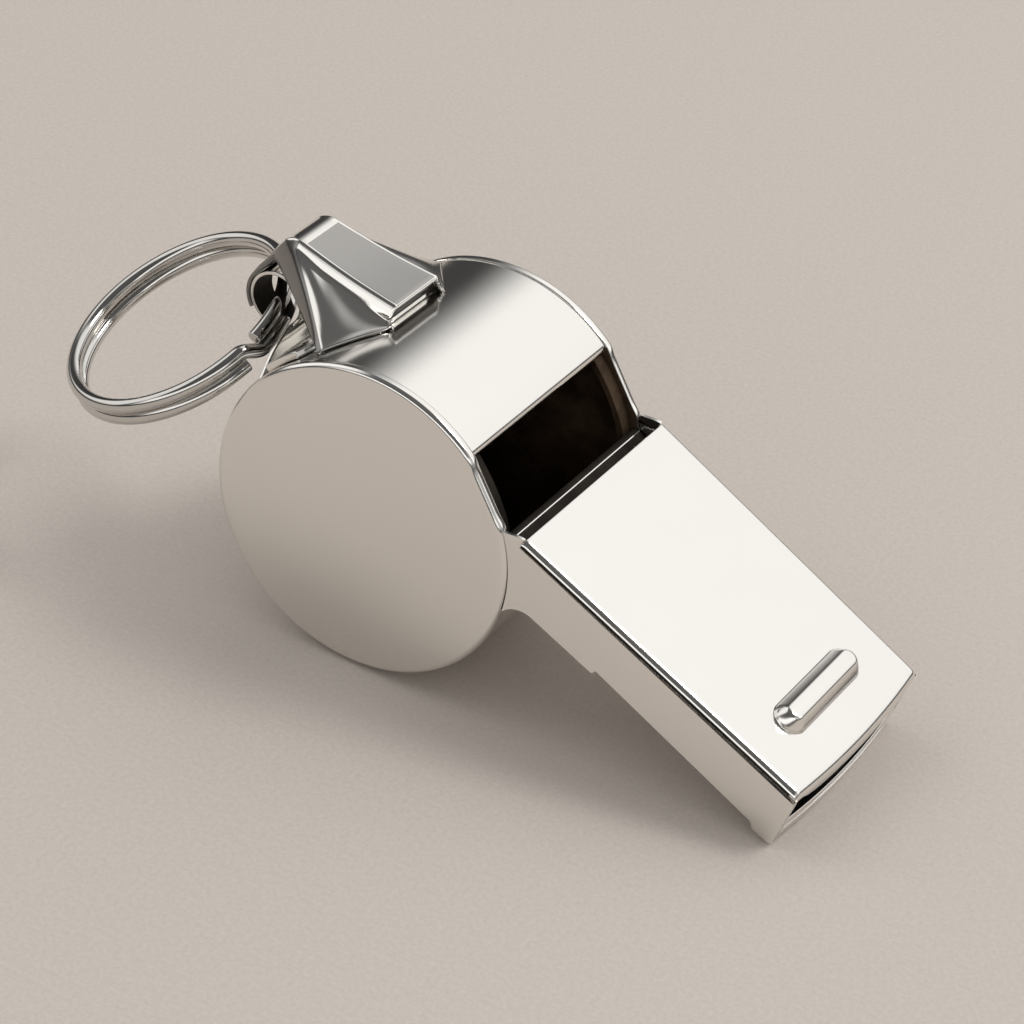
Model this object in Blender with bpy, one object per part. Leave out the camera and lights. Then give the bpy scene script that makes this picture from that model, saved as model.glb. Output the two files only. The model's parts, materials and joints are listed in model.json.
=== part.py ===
"""A nickel-plated pea whistle with a split ring, built from its separate sheet-metal pieces.

The whistle is modelled level: the barrel's axis is the Y axis through the origin, the mouthpiece
points along +X, and the window opens upwards. An empty then tips it nose down, so that it rests on
the barrel and on the tip of the mouthpiece, and centres it over the origin.
"""

import math

import bmesh
import bpy
from mathutils import Matrix, Vector

MM = 0.001

# Sheet, seams and running clearances
SHEET = 0.6 * MM
SEAM = 0.25 * MM
PEA_CLEARANCE = 0.3 * MM

# Barrel
BARREL_RADIUS = 12.6 * MM
WHISTLE_WIDTH = 20.2 * MM
LIP_ANGLE = math.radians(18.2)
THROAT_RADIUS = 2.0 * MM

# End caps
CAP_THICKNESS = 0.85 * MM
CAP_OVERHANG = 0.12 * MM
CAP_SHOULDER = 0.7 * MM
SPIGOT_DEPTH = 1.2 * MM
SPIGOT_WALL = 0.55 * MM

# Mouthpiece
WINDOW_RUN = 6.6 * MM
TOP_DROP = 2.65 * MM
TOP_LENGTH = 26.6 * MM
TOP_FALL = 0.22 * MM
TOP_EDGE_RADIUS = 0.5 * MM
TOP_OVERHANG = 0.2 * MM
FRONT_BULGE = 0.5 * MM
FRONT_LIP_HEIGHT = 1.35 * MM
FRONT_LEAN = 0.157
TIP_NARROWING = 0.64 * MM
CHEEK_SETBACK = 0.17 * MM
CHEEK_TOP_ANGLE = math.radians(44)
MOUTH_DEPTH = 5.2 * MM
TONGUE_REACH = 5.9 * MM
TONGUE_STEP = 0.45 * MM
BOTTOM_FALL = 0.62 * MM
BOTTOM_RECESS = 0.25 * MM
WINDWAY_EXIT = 1.0 * MM
WINDWAY_REACH = 0.75 * MM
FLOOR_FRONT_SETBACK = 2.2 * MM
FOOT_SETBACK = 1.35 * MM
FOOT_DROP = 0.38 * MM
FOOT_ROUND = 0.35 * MM
LIP_RISE = 1.0 * MM
LIP_RUN = 2.2 * MM

# Tooth grip on the top plate
GRIP_LENGTH = 10.4 * MM
GRIP_WIDTH = 2.95 * MM
GRIP_HEIGHT = 1.0 * MM
GRIP_CHAMFER = 0.8 * MM
GRIP_TIP_DISTANCE = 4.5 * MM

# Lug saddle and hood
SADDLE_FRONT_ANGLE = math.radians(-40)
SADDLE_BACK_ANGLE = math.radians(-76)
SADDLE_SHARES = (0.3, 0.425, 0.575, 0.6875, 0.7625, 0.825, 0.925, 1.05)
HOOD_FRONT_ANGLE = math.radians(-37.64)
HOOD_REACH = 4.6 * MM
HOOD_SLOPE = math.radians(14.4)
HOOD_RIDGE_RADIUS = 1.4 * MM
HOOD_BACK_RUN = 3.2 * MM
HOOD_BACK_LEAN = math.radians(12)
HOOD_FRONT_HALF_WIDTH = 2.85 * MM
HOOD_RIDGE_HALF_WIDTH = 2.3 * MM
HOOD_FOOT_HALF_WIDTH = 1.8 * MM
HOOD_LIP_WIDTH = 0.55 * MM
HOOD_LIP_DROP = 0.8 * MM
GUSSET_BASE_ANGLE = math.radians(-51.5)
GUSSET_BASE_HALF_WIDTH = 8.0 * MM
GUSSET_SAG = 0.6 * MM

# Eye strap
EYE_REACH = 4.11 * MM
EYE_HEIGHT = 2.15 * MM
EYE_BORE_RADIUS = 2.05 * MM
EYE_HALF_WIDTH = 1.25 * MM
EYE_CURL = math.radians(292)
STRAP_THICKNESS = 0.45 * MM
STRAP_FOOT_TOP_ANGLE = math.radians(-98)
STRAP_FOOT_BOTTOM_ANGLE = math.radians(-112)
STRAP_FOOT_HALF_WIDTH = 7.6 * MM

# Split ring: its centre from the eye's axis, and the direction square to its plane
RING_RADIUS = 9.15 * MM
RING_WIRE_RADIUS = 0.43 * MM
RING_COIL_GAP = 0.44 * MM
RING_CENTRE = Vector((-4.59 * MM, -2.85 * MM, -7.2 * MM))
RING_NORMAL = Vector((-0.724, -0.344, 0.598)).normalized()
RING_JOG_PLACE = math.radians(155)
RING_JOG_SPREAD = math.radians(14)
RING_END_SETBACK = math.radians(10)

# Pea
PEA_RADIUS = 5.5 * MM

# Facets
ARC_STEP = math.radians(5)
RING_POINTS_PER_TURN = 40
PEA_SEGMENTS = 24

# Finishes: colour, roughness and metallic value
NICKEL = ((0.74, 0.71, 0.67, 1.0), 0.12, 1.0)
STEEL = ((0.66, 0.63, 0.59, 1.0), 0.18, 1.0)
CORK = ((0.42, 0.27, 0.15, 1.0), 0.85, 0.0)


def clear_scene():
    """Removes whatever the file was opened with."""
    for old in list(bpy.data.objects):
        bpy.data.objects.remove(old)


def material(name, finish):
    """A piece's own Principled material, from its colour, roughness and metallic value."""
    colour, roughness, metallic = finish
    made = bpy.data.materials.new(name + "_finish")
    made.use_nodes = True
    shader = made.node_tree.nodes["Principled BSDF"]
    shader.inputs["Base Color"].default_value = colour
    shader.inputs["Roughness"].default_value = roughness
    shader.inputs["Metallic"].default_value = metallic
    made.diffuse_color = colour
    return made


def on_circle(radius, angle):
    """The (x, z) point at this angle from +Z towards +X, round the barrel's axis."""
    return Vector((radius * math.sin(angle), radius * math.cos(angle)))


def arc(centre, radius, start, end):
    """(x, z) points round a centre, with angles measured as on_circle does."""
    steps = max(2, math.ceil(abs(end - start) / ARC_STEP))
    return [centre + on_circle(radius, start + (end - start) * i / steps) for i in range(steps + 1)]


def bezier(a, b, c, d, steps):
    """Points on a cubic curve, without its first point."""
    found = []
    for i in range(1, steps + 1):
        t = i / steps
        u = 1 - t
        found.append(a * u**3 + b * 3 * u * u * t + c * 3 * u * t * t + d * t**3)
    return found


def add_object(name, mesh, finish, parent):
    """Links a mesh as a named object under its parent, smooth except at its hard edges."""
    made = bpy.data.objects.new(name, mesh)
    bpy.context.scene.collection.objects.link(made)
    made.parent = parent
    mesh.materials.append(material(name, finish))
    mesh.shade_smooth()
    mesh.set_sharp_from_angle(angle=math.radians(35))
    return made


def finish_mesh(name, bm):
    """Turns a bmesh of one closed body into a mesh whose faces point out."""
    bmesh.ops.recalc_face_normals(bm, faces=bm.faces)
    mesh = bpy.data.meshes.new(name)
    bm.to_mesh(mesh)
    bm.free()
    return mesh


def loft(name, sections):
    """A closed body through closed sections that all have as many points."""
    bm = bmesh.new()
    rings = [[bm.verts.new(point) for point in section] for section in sections]
    count = len(rings[0])
    for near, far in zip(rings, rings[1:]):
        for i in range(count):
            j = (i + 1) % count
            bm.faces.new((near[i], near[j], far[j], far[i]))
    bm.faces.new(rings[0])
    bm.faces.new(rings[-1])
    return finish_mesh(name, bm)


def sheet(name, grid, thickness, finish, parent):
    """A sheet of even thickness on both sides of a grid of points, by a Solidify modifier."""
    bm = bmesh.new()
    rows = [[bm.verts.new(point) for point in row] for row in grid]
    for near, far in zip(rows, rows[1:]):
        for i in range(len(near) - 1):
            bm.faces.new((near[i], near[i + 1], far[i + 1], far[i]))
    mesh = finish_mesh(name, bm)
    made = add_object(name, mesh, finish, parent)
    wall = made.modifiers.new("sheet", "SOLIDIFY")
    wall.thickness = thickness
    wall.offset = 0
    wall.use_even_offset = True
    return made


def ribbon(path, half_widths):
    """A grid two points wide, from (x, z) points and the half width at each."""
    return [
        [Vector((point.x, -half, point.y)), Vector((point.x, half, point.y))]
        for point, half in zip(path, half_widths)
    ]


def turned(name, profile, segments):
    """A body turned round the Y axis from (radius, y) points whose first and last lie on the axis."""
    bm = bmesh.new()
    verts = [bm.verts.new((radius, y, 0)) for radius, y in profile]
    edges = [bm.edges.new(pair) for pair in zip(verts, verts[1:])]
    bmesh.ops.spin(
        bm,
        geom=verts + edges,
        cent=(0, 0, 0),
        axis=(0, 1, 0),
        angle=math.tau,
        steps=segments,
        use_merge=True,
    )
    bmesh.ops.remove_doubles(bm, verts=bm.verts, dist=1e-7)
    return finish_mesh(name, bm)


# Places that follow from the dimensions

HOOD_RIDGE_X = -BARREL_RADIUS - HOOD_REACH
EYE_X = -BARREL_RADIUS - EYE_REACH
LIP = on_circle(BARREL_RADIUS, LIP_ANGLE)
TOP_BACK_X = LIP.x + WINDOW_RUN
TOP_BACK_Z = BARREL_RADIUS - TOP_DROP
TIP_X = TOP_BACK_X + TOP_LENGTH
CAP_RADIUS = BARREL_RADIUS + CAP_OVERHANG
CHEEK_HALF_WIDTH = WHISTLE_WIDTH / 2 - CHEEK_SETBACK
THROAT_Z = TOP_BACK_Z - MOUTH_DEPTH
THROAT_CENTRE_Z = THROAT_Z - THROAT_RADIUS
THROAT_CENTRE_X = math.sqrt((BARREL_RADIUS + THROAT_RADIUS) ** 2 - THROAT_CENTRE_Z**2)
THROAT_ANGLE = math.atan2(THROAT_CENTRE_X, THROAT_CENTRE_Z)
TONGUE_END_X = THROAT_CENTRE_X + TONGUE_REACH


# The mouthpiece's lines, as functions of x

def along_mouth(x):
    """0 at the top plate's back edge, 1 at the tip."""
    return (x - TOP_BACK_X) / TOP_LENGTH


def half_width(x):
    """Half of the mouthpiece's width over its cheeks."""
    return CHEEK_HALF_WIDTH - TIP_NARROWING * along_mouth(x)


def inner_half_width(x):
    """Half of the width left between the cheeks, less a seam on each side."""
    return half_width(x) - SHEET - SEAM


def top_z(x):
    """Height of the top plate's upper face."""
    return TOP_BACK_Z - TOP_FALL * along_mouth(x)


def bottom_z(x):
    """Height of the underside, in front of the tongue's step."""
    return THROAT_Z + TONGUE_STEP - BOTTOM_FALL * (x - TONGUE_END_X) / (TIP_X - TONGUE_END_X)


def front_x(z):
    """Where the leaning front of the mouthpiece lies at this height, at its sides."""
    return TIP_X + FRONT_LEAN * (top_z(TIP_X) - z)


def round_throat(radius, clear):
    """Angle from the throat's direction to where a circle round the barrel comes this near its centre."""
    reach = math.hypot(THROAT_CENTRE_X, THROAT_CENTRE_Z)
    return math.acos((reach**2 + radius**2 - clear**2) / (2 * reach * radius))


def barrel_half_width():
    """Half of the barrel strip's width, between the two caps."""
    return WHISTLE_WIDTH / 2 - CAP_THICKNESS - SEAM


def make_barrel_strip(finish, parent):
    """One strip: from the lip over the back and the underside, through the throat, to the tongue."""
    middle = BARREL_RADIUS - SHEET / 2
    path = arc(Vector((0, 0)), middle, LIP_ANGLE, THROAT_ANGLE - math.tau)
    throat = Vector((THROAT_CENTRE_X, THROAT_CENTRE_Z))
    path += arc(throat, THROAT_RADIUS + SHEET / 2, THROAT_ANGLE - math.pi, 0)[1:]
    path.append(Vector((TONGUE_END_X, THROAT_Z + SHEET / 2)))
    widths = [
        min(barrel_half_width(), inner_half_width(point.x)) if point.x > THROAT_CENTRE_X - THROAT_RADIUS
        else barrel_half_width()
        for point in path
    ]
    return sheet("barrel_strip", ribbon(path, widths), SHEET, finish, parent)


def make_cap(name, side, finish, parent):
    """A pressed disc with a rounded shoulder, and a spigot that seats inside the barrel strip."""
    face = WHISTLE_WIDTH / 2
    back = face - CAP_THICKNESS
    spigot_out = BARREL_RADIUS - SHEET - SEAM
    spigot_in = spigot_out - SPIGOT_WALL
    shoulder = [
        (
            CAP_RADIUS - CAP_SHOULDER + CAP_SHOULDER * math.sin(turn),
            face - CAP_SHOULDER + CAP_SHOULDER * math.cos(turn),
        )
        for turn in (math.radians(18) * i for i in range(6))
    ]
    profile = [(0, face), *shoulder, (CAP_RADIUS, back), (spigot_out, back)]
    profile += [(spigot_out, back - SPIGOT_DEPTH), (spigot_in, back - SPIGOT_DEPTH)]
    profile += [(spigot_in, back), (0, back)]
    mesh = turned(name, [(radius, side * y) for radius, y in profile], 72)
    return add_object(name, mesh, finish, parent)


def cheek_outline():
    """The side panel's (x, z) outline, from its top corner at the window round to the tip and back."""
    rim = CAP_RADIUS + SEAM
    rear = arc(Vector((0, 0)), rim, CHEEK_TOP_ANGLE, THROAT_ANGLE - round_throat(rim, THROAT_RADIUS))
    throat = Vector((THROAT_CENTRE_X, THROAT_CENTRE_Z))
    meet = rear[-1] - throat
    lower = arc(throat, THROAT_RADIUS, math.atan2(meet.x, meet.y), 0)[1:]
    foot_x = TIP_X - FOOT_SETBACK
    foot_z = bottom_z(TIP_X) - FOOT_DROP
    lower += [
        Vector((TONGUE_END_X, THROAT_Z)),
        Vector((TONGUE_END_X + SEAM / 2, bottom_z(TONGUE_END_X))),
        Vector((foot_x, bottom_z(foot_x))),
        Vector((foot_x + FOOT_DROP, foot_z)),
        Vector((front_x(foot_z) - FOOT_ROUND, foot_z)),
        Vector((front_x(foot_z + FOOT_ROUND * 0.3) - FOOT_ROUND * 0.3, foot_z + FOOT_ROUND * 0.3)),
        Vector((front_x(foot_z + FOOT_ROUND), foot_z + FOOT_ROUND)),
    ]
    under_top = SHEET + SEAM
    step = TOP_BACK_X - SEAM
    corner = rear[0]
    tip_top = top_z(TIP_X) - under_top
    upper = [
        Vector((front_x(tip_top), tip_top)),
        Vector((step, top_z(step) - under_top)),
        Vector((step, top_z(step))),
    ]
    flare = bezier(
        upper[-1],
        upper[-1] + Vector((-0.4 * MM, 0)),
        corner + Vector((0.5 * MM, 0.2 * MM)),
        corner,
        4,
    )
    return rear + lower + upper + flare[:-1]


def make_cheek(name, side, finish, parent):
    """A flat side panel of the mouthpiece, which narrows towards the tip."""
    outline = cheek_outline()
    outer = [Vector((p.x, side * half_width(p.x), p.y)) for p in outline]
    inner = [Vector((p.x, side * (half_width(p.x) - SHEET), p.y)) for p in outline]
    return add_object(name, loft(name, [outer, inner]), finish, parent)


def make_top_plate(finish, parent):
    """The top of the mouthpiece, with rounded long edges and a bulging front lip turned down."""
    edge = TOP_EDGE_RADIUS / half_width(TIP_X)
    rounds = [1 - edge * (1 - math.sin(math.radians(30) * i)) for i in range(4)]
    flat = [0.88, 0.82, 0.72, 0.5, 0.25]
    across = [-v for v in reversed(rounds)] + [-v for v in flat] + [0] + flat[::-1] + rounds
    sections = []
    for v in across:
        reach = max(0, (abs(v) - 1 + edge) / edge)
        sink = TOP_EDGE_RADIUS * (1 - math.sqrt(1 - min(1, reach) ** 2))
        front = TIP_X + FRONT_BULGE * (1 - v * v)
        low = SHEET * 1.03 + (FRONT_LIP_HEIGHT - SHEET) * max(0, 1 - (abs(v) / 0.88) ** 6)
        outline = [
            (TOP_BACK_X, -sink),
            (front - TOP_EDGE_RADIUS, -sink),
            (front - TOP_EDGE_RADIUS * 0.3, -TOP_EDGE_RADIUS * 0.3 - sink * 0.4),
            (front + FRONT_LEAN * TOP_EDGE_RADIUS, -TOP_EDGE_RADIUS - SHEET * 0.02),
            (front + FRONT_LEAN * low, -low),
            (front - SHEET, -low),
            (front - SHEET * 1.1, -SHEET),
            (TOP_BACK_X, -SHEET),
        ]
        sections.append(
            [Vector((x, v * (half_width(x) + TOP_OVERHANG), top_z(x) + z)) for x, z in outline]
        )
    return add_object("mouth_top_plate", loft("mouth_top_plate", sections), finish, parent)


def bottom_line():
    """The bottom plate's middle line in (x, z): level at first, then rising to the mouth's lower lip."""
    start = TONGUE_END_X + SEAM
    bend = TIP_X - LIP_RUN + FRONT_LEAN * MOUTH_DEPTH
    tip_z = bottom_z(TIP_X) + BOTTOM_RECESS + SHEET / 2 + LIP_RISE
    return [
        Vector((start, bottom_z(start) + BOTTOM_RECESS + SHEET / 2)),
        Vector((bend, bottom_z(bend) + BOTTOM_RECESS + SHEET / 2)),
        Vector((front_x(tip_z), tip_z)),
    ]


def make_bottom_plate(finish, parent):
    """The underside of the mouthpiece, from the tongue's end to the lower lip, between the cheeks."""
    grid = []
    for point in bottom_line():
        half = inner_half_width(point.x)
        bulge = FRONT_BULGE if point.x > TIP_X else 0
        row = [Vector((point.x + bulge * (1 - v * v), v * half, point.y)) for v in (-1, -0.5, 0, 0.5, 1)]
        grid.append(row)
    return sheet("mouth_bottom_plate", grid, SHEET, finish, parent)


def make_tooth_ridge(finish, parent):
    """A wedge under the lower lip, between the feet of the cheeks, flush with them."""
    low = bottom_z(TIP_X) - FOOT_DROP
    back = TIP_X - FOOT_SETBACK + FOOT_DROP
    bend, lip = bottom_line()[1:]
    slope = (lip.y - bend.y) / (lip.x - bend.x)
    drop = (SHEET / 2 + SEAM) * math.hypot(1, slope)

    def under_plate(x):
        return bend.y + slope * (x - bend.x) - drop

    sections = []
    for v in (-1, -0.5, 0, 0.5, 1):
        half = inner_half_width(back)
        front = front_x(low) + FRONT_BULGE * (1 - v * v) - SEAM
        outline = [(back, low), (front, low), (front - 0.1 * MM, under_plate(front)), (back, under_plate(back))]
        sections.append([Vector((x, v * half, z)) for x, z in outline])
    return add_object("lower_tooth_ridge", loft("lower_tooth_ridge", sections), finish, parent)


def make_windway_floor(finish, parent):
    """The plate under the air's way: it rises to the slot, then turns down as the chamber's front wall."""
    front_x = TIP_X - FLOOR_FRONT_SETBACK
    front = Vector((front_x, bottom_z(front_x) + BOTTOM_RECESS + SHEET + SEAM + SHEET / 2))
    rear_x = TOP_BACK_X - WINDWAY_REACH
    rear = Vector((rear_x, top_z(rear_x) - SHEET - WINDWAY_EXIT - SHEET / 2))
    wall = BARREL_RADIUS - SHEET / 2
    low = THROAT_ANGLE - round_throat(BARREL_RADIUS, THROAT_RADIUS + SHEET + SEAM)
    down = arc(Vector((0, 0)), wall, math.atan2(rear.x, rear.y) + math.radians(3), low)
    corner = bezier(rear + Vector((0.3 * MM, -0.02 * MM)), rear, rear, down[0], 3)
    path = [front, rear + Vector((0.3 * MM, -0.02 * MM))] + corner + down[1:]
    widths = [min(barrel_half_width(), inner_half_width(point.x)) for point in path]
    return sheet("windway_floor", ribbon(path, widths), SHEET, finish, parent)


def make_tooth_grip(finish, parent):
    """The bar across the top near the tip: round ends, sloping sides and a flat top."""
    middle = TIP_X - GRIP_TIP_DISTANCE
    sections = []
    for share, height in ((1.0, SEAM), (1.0, SEAM + 0.1 * MM), (0.0, GRIP_HEIGHT)):
        radius = GRIP_WIDTH / 2 - GRIP_CHAMFER * (1 - share)
        straight = GRIP_LENGTH / 2 - GRIP_WIDTH / 2
        section = []
        for end in (1, -1):
            for i in range(9):
                turn = math.pi * i / 8
                x = middle + end * radius * math.cos(turn)
                y = end * (straight + radius * math.sin(turn))
                section.append(Vector((x, y, top_z(x) + height)))
        sections.append(section)
    return add_object("upper_tooth_grip", loft("upper_tooth_grip", sections), finish, parent)


def make_saddle(finish, parent):
    """The curved plate on the barrel that carries the hood."""
    radius = BARREL_RADIUS + SEAM + SHEET / 2
    grid = []
    for i in range(13):
        angle = SADDLE_FRONT_ANGLE + (SADDLE_BACK_ANGLE - SADDLE_FRONT_ANGLE) * i / 12
        half = GUSSET_BASE_HALF_WIDTH * SADDLE_SHARES[min(i, len(SADDLE_SHARES) - 1)]
        place = on_circle(radius, angle)
        grid.append([Vector((place.x, half * v, place.y)) for v in (-1, -0.5, 0, 0.5, 1)])
    return sheet("lug_saddle", grid, SHEET, finish, parent)


def hood_line():
    """The hood's middle line in (x, z): top panel, ridge and back wall, each point with its inward normal."""
    base = BARREL_RADIUS + SEAM + SHEET + SEAM + SHEET / 2
    front = on_circle(base, HOOD_FRONT_ANGLE)
    along = Vector((-math.cos(HOOD_SLOPE), -math.sin(HOOD_SLOPE)))
    run = (front.x - HOOD_RIDGE_X) / math.cos(HOOD_SLOPE)
    inward = Vector((math.sin(HOOD_SLOPE), -math.cos(HOOD_SLOPE)))
    line = [(front + along * run * i / 6, inward) for i in range(7)]
    centre = line[-1][0] + inward * HOOD_RIDGE_RADIUS
    start = math.atan2(-inward.x, -inward.y)
    end = -math.pi / 2 + HOOD_BACK_LEAN
    for point in arc(centre, HOOD_RIDGE_RADIUS, start, end)[1:]:
        line.append((point, (centre - point).normalized()))
    last, inward = line[-1]
    down = Vector((inward.y, -inward.x))
    line += [(last + down * HOOD_BACK_RUN * i / 3, inward) for i in (1, 2, 3)]
    return line


def make_hood(finish, parent):
    """The raised hood: a panel with turned-down side lips, a back wall, and a gusset on each side."""
    bm = bmesh.new()
    line = hood_line()
    top_rows = 7
    rows = []
    for i, (point, inward) in enumerate(line):
        if i < top_rows:
            share = i / (top_rows - 1)
            half = HOOD_FRONT_HALF_WIDTH + (HOOD_RIDGE_HALF_WIDTH - HOOD_FRONT_HALF_WIDTH) * share
            drop = HOOD_LIP_DROP * min(1, 0.12 + share * 2.5)
        else:
            share = (i - top_rows + 1) / (len(line) - top_rows)
            half = HOOD_RIDGE_HALF_WIDTH + (HOOD_FOOT_HALF_WIDTH - HOOD_RIDGE_HALF_WIDTH) * share
            drop = HOOD_LIP_DROP * (1 - 0.6 * share)
        lip = point + inward * drop
        edge = half + HOOD_LIP_WIDTH
        row = {}
        for side in (-1, 1):
            row[side] = [
                bm.verts.new((point.x, side * half, point.y)),
                bm.verts.new((lip.x, side * edge, lip.y)),
            ]
        row[0] = bm.verts.new((point.x, 0, point.y))
        rows.append((row, lip, edge))
    front_angle = math.atan2(line[0][0].x, line[0][0].y)
    for i, (row, lip, edge) in enumerate(rows[:top_rows]):
        share = i / (top_rows - 1)
        base = BARREL_RADIUS + SEAM + SHEET / 2 + (SEAM + SHEET) * (1 - share) ** 2
        foot = on_circle(base, front_angle + (GUSSET_BASE_ANGLE - front_angle) * share)
        foot_half = edge + 0.5 * MM + (GUSSET_BASE_HALF_WIDTH - edge - 0.5 * MM) * share
        for side in (-1, 1):
            a = Vector((lip.x, side * edge, lip.y))
            b = Vector((foot.x, side * foot_half, foot.y))
            inner = Vector((0, -side * 0.8, -0.6)) * GUSSET_SAG * share
            for step in (1, 2, 3):
                t = step / 3
                point = a.lerp(b, t) + inner * 4 * t * (1 - t)
                row[side].append(bm.verts.new(point))
    for i in range(len(rows) - 1):
        near = rows[i][0]
        far = rows[i + 1][0]
        for side in (-1, 1):
            left = [near[0]] + near[side]
            right = [far[0]] + far[side]
            for k in range(min(len(left), len(right)) - 1):
                bm.faces.new((left[k], left[k + 1], right[k + 1], right[k]))
    made = add_object("lug_hood", finish_mesh("lug_hood", bm), finish, parent)
    wall = made.modifiers.new("sheet", "SOLIDIFY")
    wall.thickness = SHEET
    wall.offset = 0
    wall.use_even_offset = True
    return made


def make_eye_strap(finish, parent):
    """The strap: a wide foot on the barrel's back, a tapering leg and a curl round the eye."""
    foot = BARREL_RADIUS + SEAM + STRAP_THICKNESS / 2
    path = arc(Vector((0, 0)), foot, STRAP_FOOT_BOTTOM_ANGLE, STRAP_FOOT_TOP_ANGLE)
    widths = [STRAP_FOOT_HALF_WIDTH] * len(path)
    eye = Vector((EYE_X, EYE_HEIGHT))
    curl = EYE_BORE_RADIUS + STRAP_THICKNESS / 2
    curl_start = math.radians(104)
    arrive = eye + on_circle(curl, curl_start)
    leave = path[-1]
    rise = Vector((math.cos(STRAP_FOOT_TOP_ANGLE), -math.sin(STRAP_FOOT_TOP_ANGLE)))
    up = Vector((-math.cos(curl_start), math.sin(curl_start)))
    leg = bezier(leave, leave + rise * 1.2 * MM, arrive - up * 1.6 * MM, arrive, 6)
    path += leg
    for i in range(1, 7):
        widths.append(STRAP_FOOT_HALF_WIDTH + (EYE_HALF_WIDTH - STRAP_FOOT_HALF_WIDTH) * i / 6)
    round_eye = arc(eye, curl, curl_start, curl_start - EYE_CURL)[1:]
    path += round_eye
    widths += [EYE_HALF_WIDTH] * len(round_eye)
    return sheet("lug_eye_strap", ribbon(path, widths), STRAP_THICKNESS, finish, parent)


def ring_path():
    """Points along the ring's wire, from the eye's axis: two turns side by side, with a jog between them."""
    across = RING_NORMAL.cross(Vector((0, 1, 0))).normalized()
    along = RING_NORMAL.cross(across)
    pitch = 2 * RING_WIRE_RADIUS + RING_COIL_GAP
    start = RING_END_SETBACK
    end = 2 * math.tau - RING_END_SETBACK
    steps = 2 * RING_POINTS_PER_TURN
    angles = {start + (end - start) * i / steps for i in range(steps + 1)}
    angles |= {math.tau + RING_JOG_SPREAD * (i / 6 - 0.5) for i in range(7)}
    points = []
    for angle in sorted(angles):
        t = min(1, max(0, (angle - math.tau) / RING_JOG_SPREAD + 0.5))
        layer = pitch * (0.5 - t * t * (3 - 2 * t))
        turn = RING_JOG_PLACE + angle
        radial = across * math.cos(turn) + along * math.sin(turn)
        points.append((angle, RING_CENTRE + radial * RING_RADIUS + RING_NORMAL * layer))
    return points


def make_split_ring(finish, parent):
    """One unbroken tube of wire, whose origin lies on the eye's axis."""
    path = ring_path()
    nearest = min(
        (a - b).length
        for i, (first, a) in enumerate(path)
        for second, b in path[i + 1:]
        if second - first > math.pi
    )
    print(f"split_ring: least gap to itself {(nearest - 2 * RING_WIRE_RADIUS) / MM:.3f} mm")
    curve = bpy.data.curves.new("split_ring", "CURVE")
    curve.dimensions = "3D"
    curve.bevel_depth = RING_WIRE_RADIUS
    curve.bevel_resolution = 2
    curve.use_fill_caps = True
    spline = curve.splines.new("POLY")
    spline.points.add(len(path) - 1)
    for point, (_, place) in zip(spline.points, path):
        point.co = (*place, 1)
    curve.materials.append(material("split_ring", finish))
    made = bpy.data.objects.new("split_ring", curve)
    bpy.context.scene.collection.objects.link(made)
    made.parent = parent
    made.location = (EYE_X, 0, EYE_HEIGHT)
    return made


def make_pea(finish, parent, angle):
    """The ball in the barrel, lying at the lowest place. Its origin is on the barrel's axis."""
    orbit = BARREL_RADIUS - SHEET - PEA_CLEARANCE - PEA_RADIUS
    low = Vector((math.sin(angle), 0, -math.cos(angle))) * orbit
    bm = bmesh.new()
    bmesh.ops.create_uvsphere(
        bm,
        u_segments=PEA_SEGMENTS,
        v_segments=PEA_SEGMENTS // 2,
        radius=PEA_RADIUS,
        matrix=Matrix.Translation(low),
    )
    return add_object("cork_pea", finish_mesh("cork_pea", bm), finish, parent)


def rest_angle():
    """How far the whistle tips nose down to stand on the barrel's caps and on the tip's foot."""
    low = bottom_z(TIP_X) - FOOT_DROP
    foot = Vector((front_x(low) - FOOT_ROUND, low))
    return math.atan2(foot.y, foot.x) + math.asin(CAP_RADIUS / foot.length)


def settle(root, angle):
    """Tips the whistle and centres its box over the origin, with its lowest point at height zero."""
    root.rotation_euler = (0, angle, 0)
    bpy.context.view_layer.update()
    graph = bpy.context.evaluated_depsgraph_get()
    low = Vector((math.inf,) * 3)
    high = Vector((-math.inf,) * 3)
    for piece in root.children:
        evaluated = piece.evaluated_get(graph)
        mesh = evaluated.to_mesh()
        for vertex in mesh.vertices:
            place = evaluated.matrix_world @ vertex.co
            low = Vector(map(min, low, place))
            high = Vector(map(max, high, place))
        evaluated.to_mesh_clear()
    root.location = (-(low.x + high.x) / 2, -(low.y + high.y) / 2, -low.z)
    bpy.context.view_layer.update()


def report(root):
    """Prints what the record needs: the tip angle, and the two joints' axes."""
    print(f"rest angle {math.degrees(root.rotation_euler.y):.4f} deg")
    print("root", [round(v, 7) for v in root.location])
    barrel = root.matrix_world @ Vector((0, 0, 0))
    eye = root.matrix_world @ Vector((EYE_X, 0, EYE_HEIGHT))
    print("barrel axis through", [round(v, 6) for v in barrel])
    print("eye axis through", [round(v, 6) for v in eye])


def build():
    clear_scene()
    root = bpy.data.objects.new("whistle_rest", None)
    bpy.context.scene.collection.objects.link(root)
    make_barrel_strip(NICKEL, root)
    make_cap("left_end_cap", 1, NICKEL, root)
    make_cap("right_end_cap", -1, NICKEL, root)
    make_cheek("left_cheek", 1, NICKEL, root)
    make_cheek("right_cheek", -1, NICKEL, root)
    make_top_plate(NICKEL, root)
    make_bottom_plate(NICKEL, root)
    make_windway_floor(NICKEL, root)
    make_tooth_grip(NICKEL, root)
    make_tooth_ridge(NICKEL, root)
    make_saddle(NICKEL, root)
    make_hood(NICKEL, root)
    make_eye_strap(NICKEL, root)
    make_split_ring(STEEL, root)
    angle = rest_angle()
    make_pea(CORK, root, angle)
    settle(root, angle)
    report(root)


build()
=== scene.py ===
"""The pea whistle's visible surfaces: fine sheet-metal pieces, finishes, stage, lamp and camera."""

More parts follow.
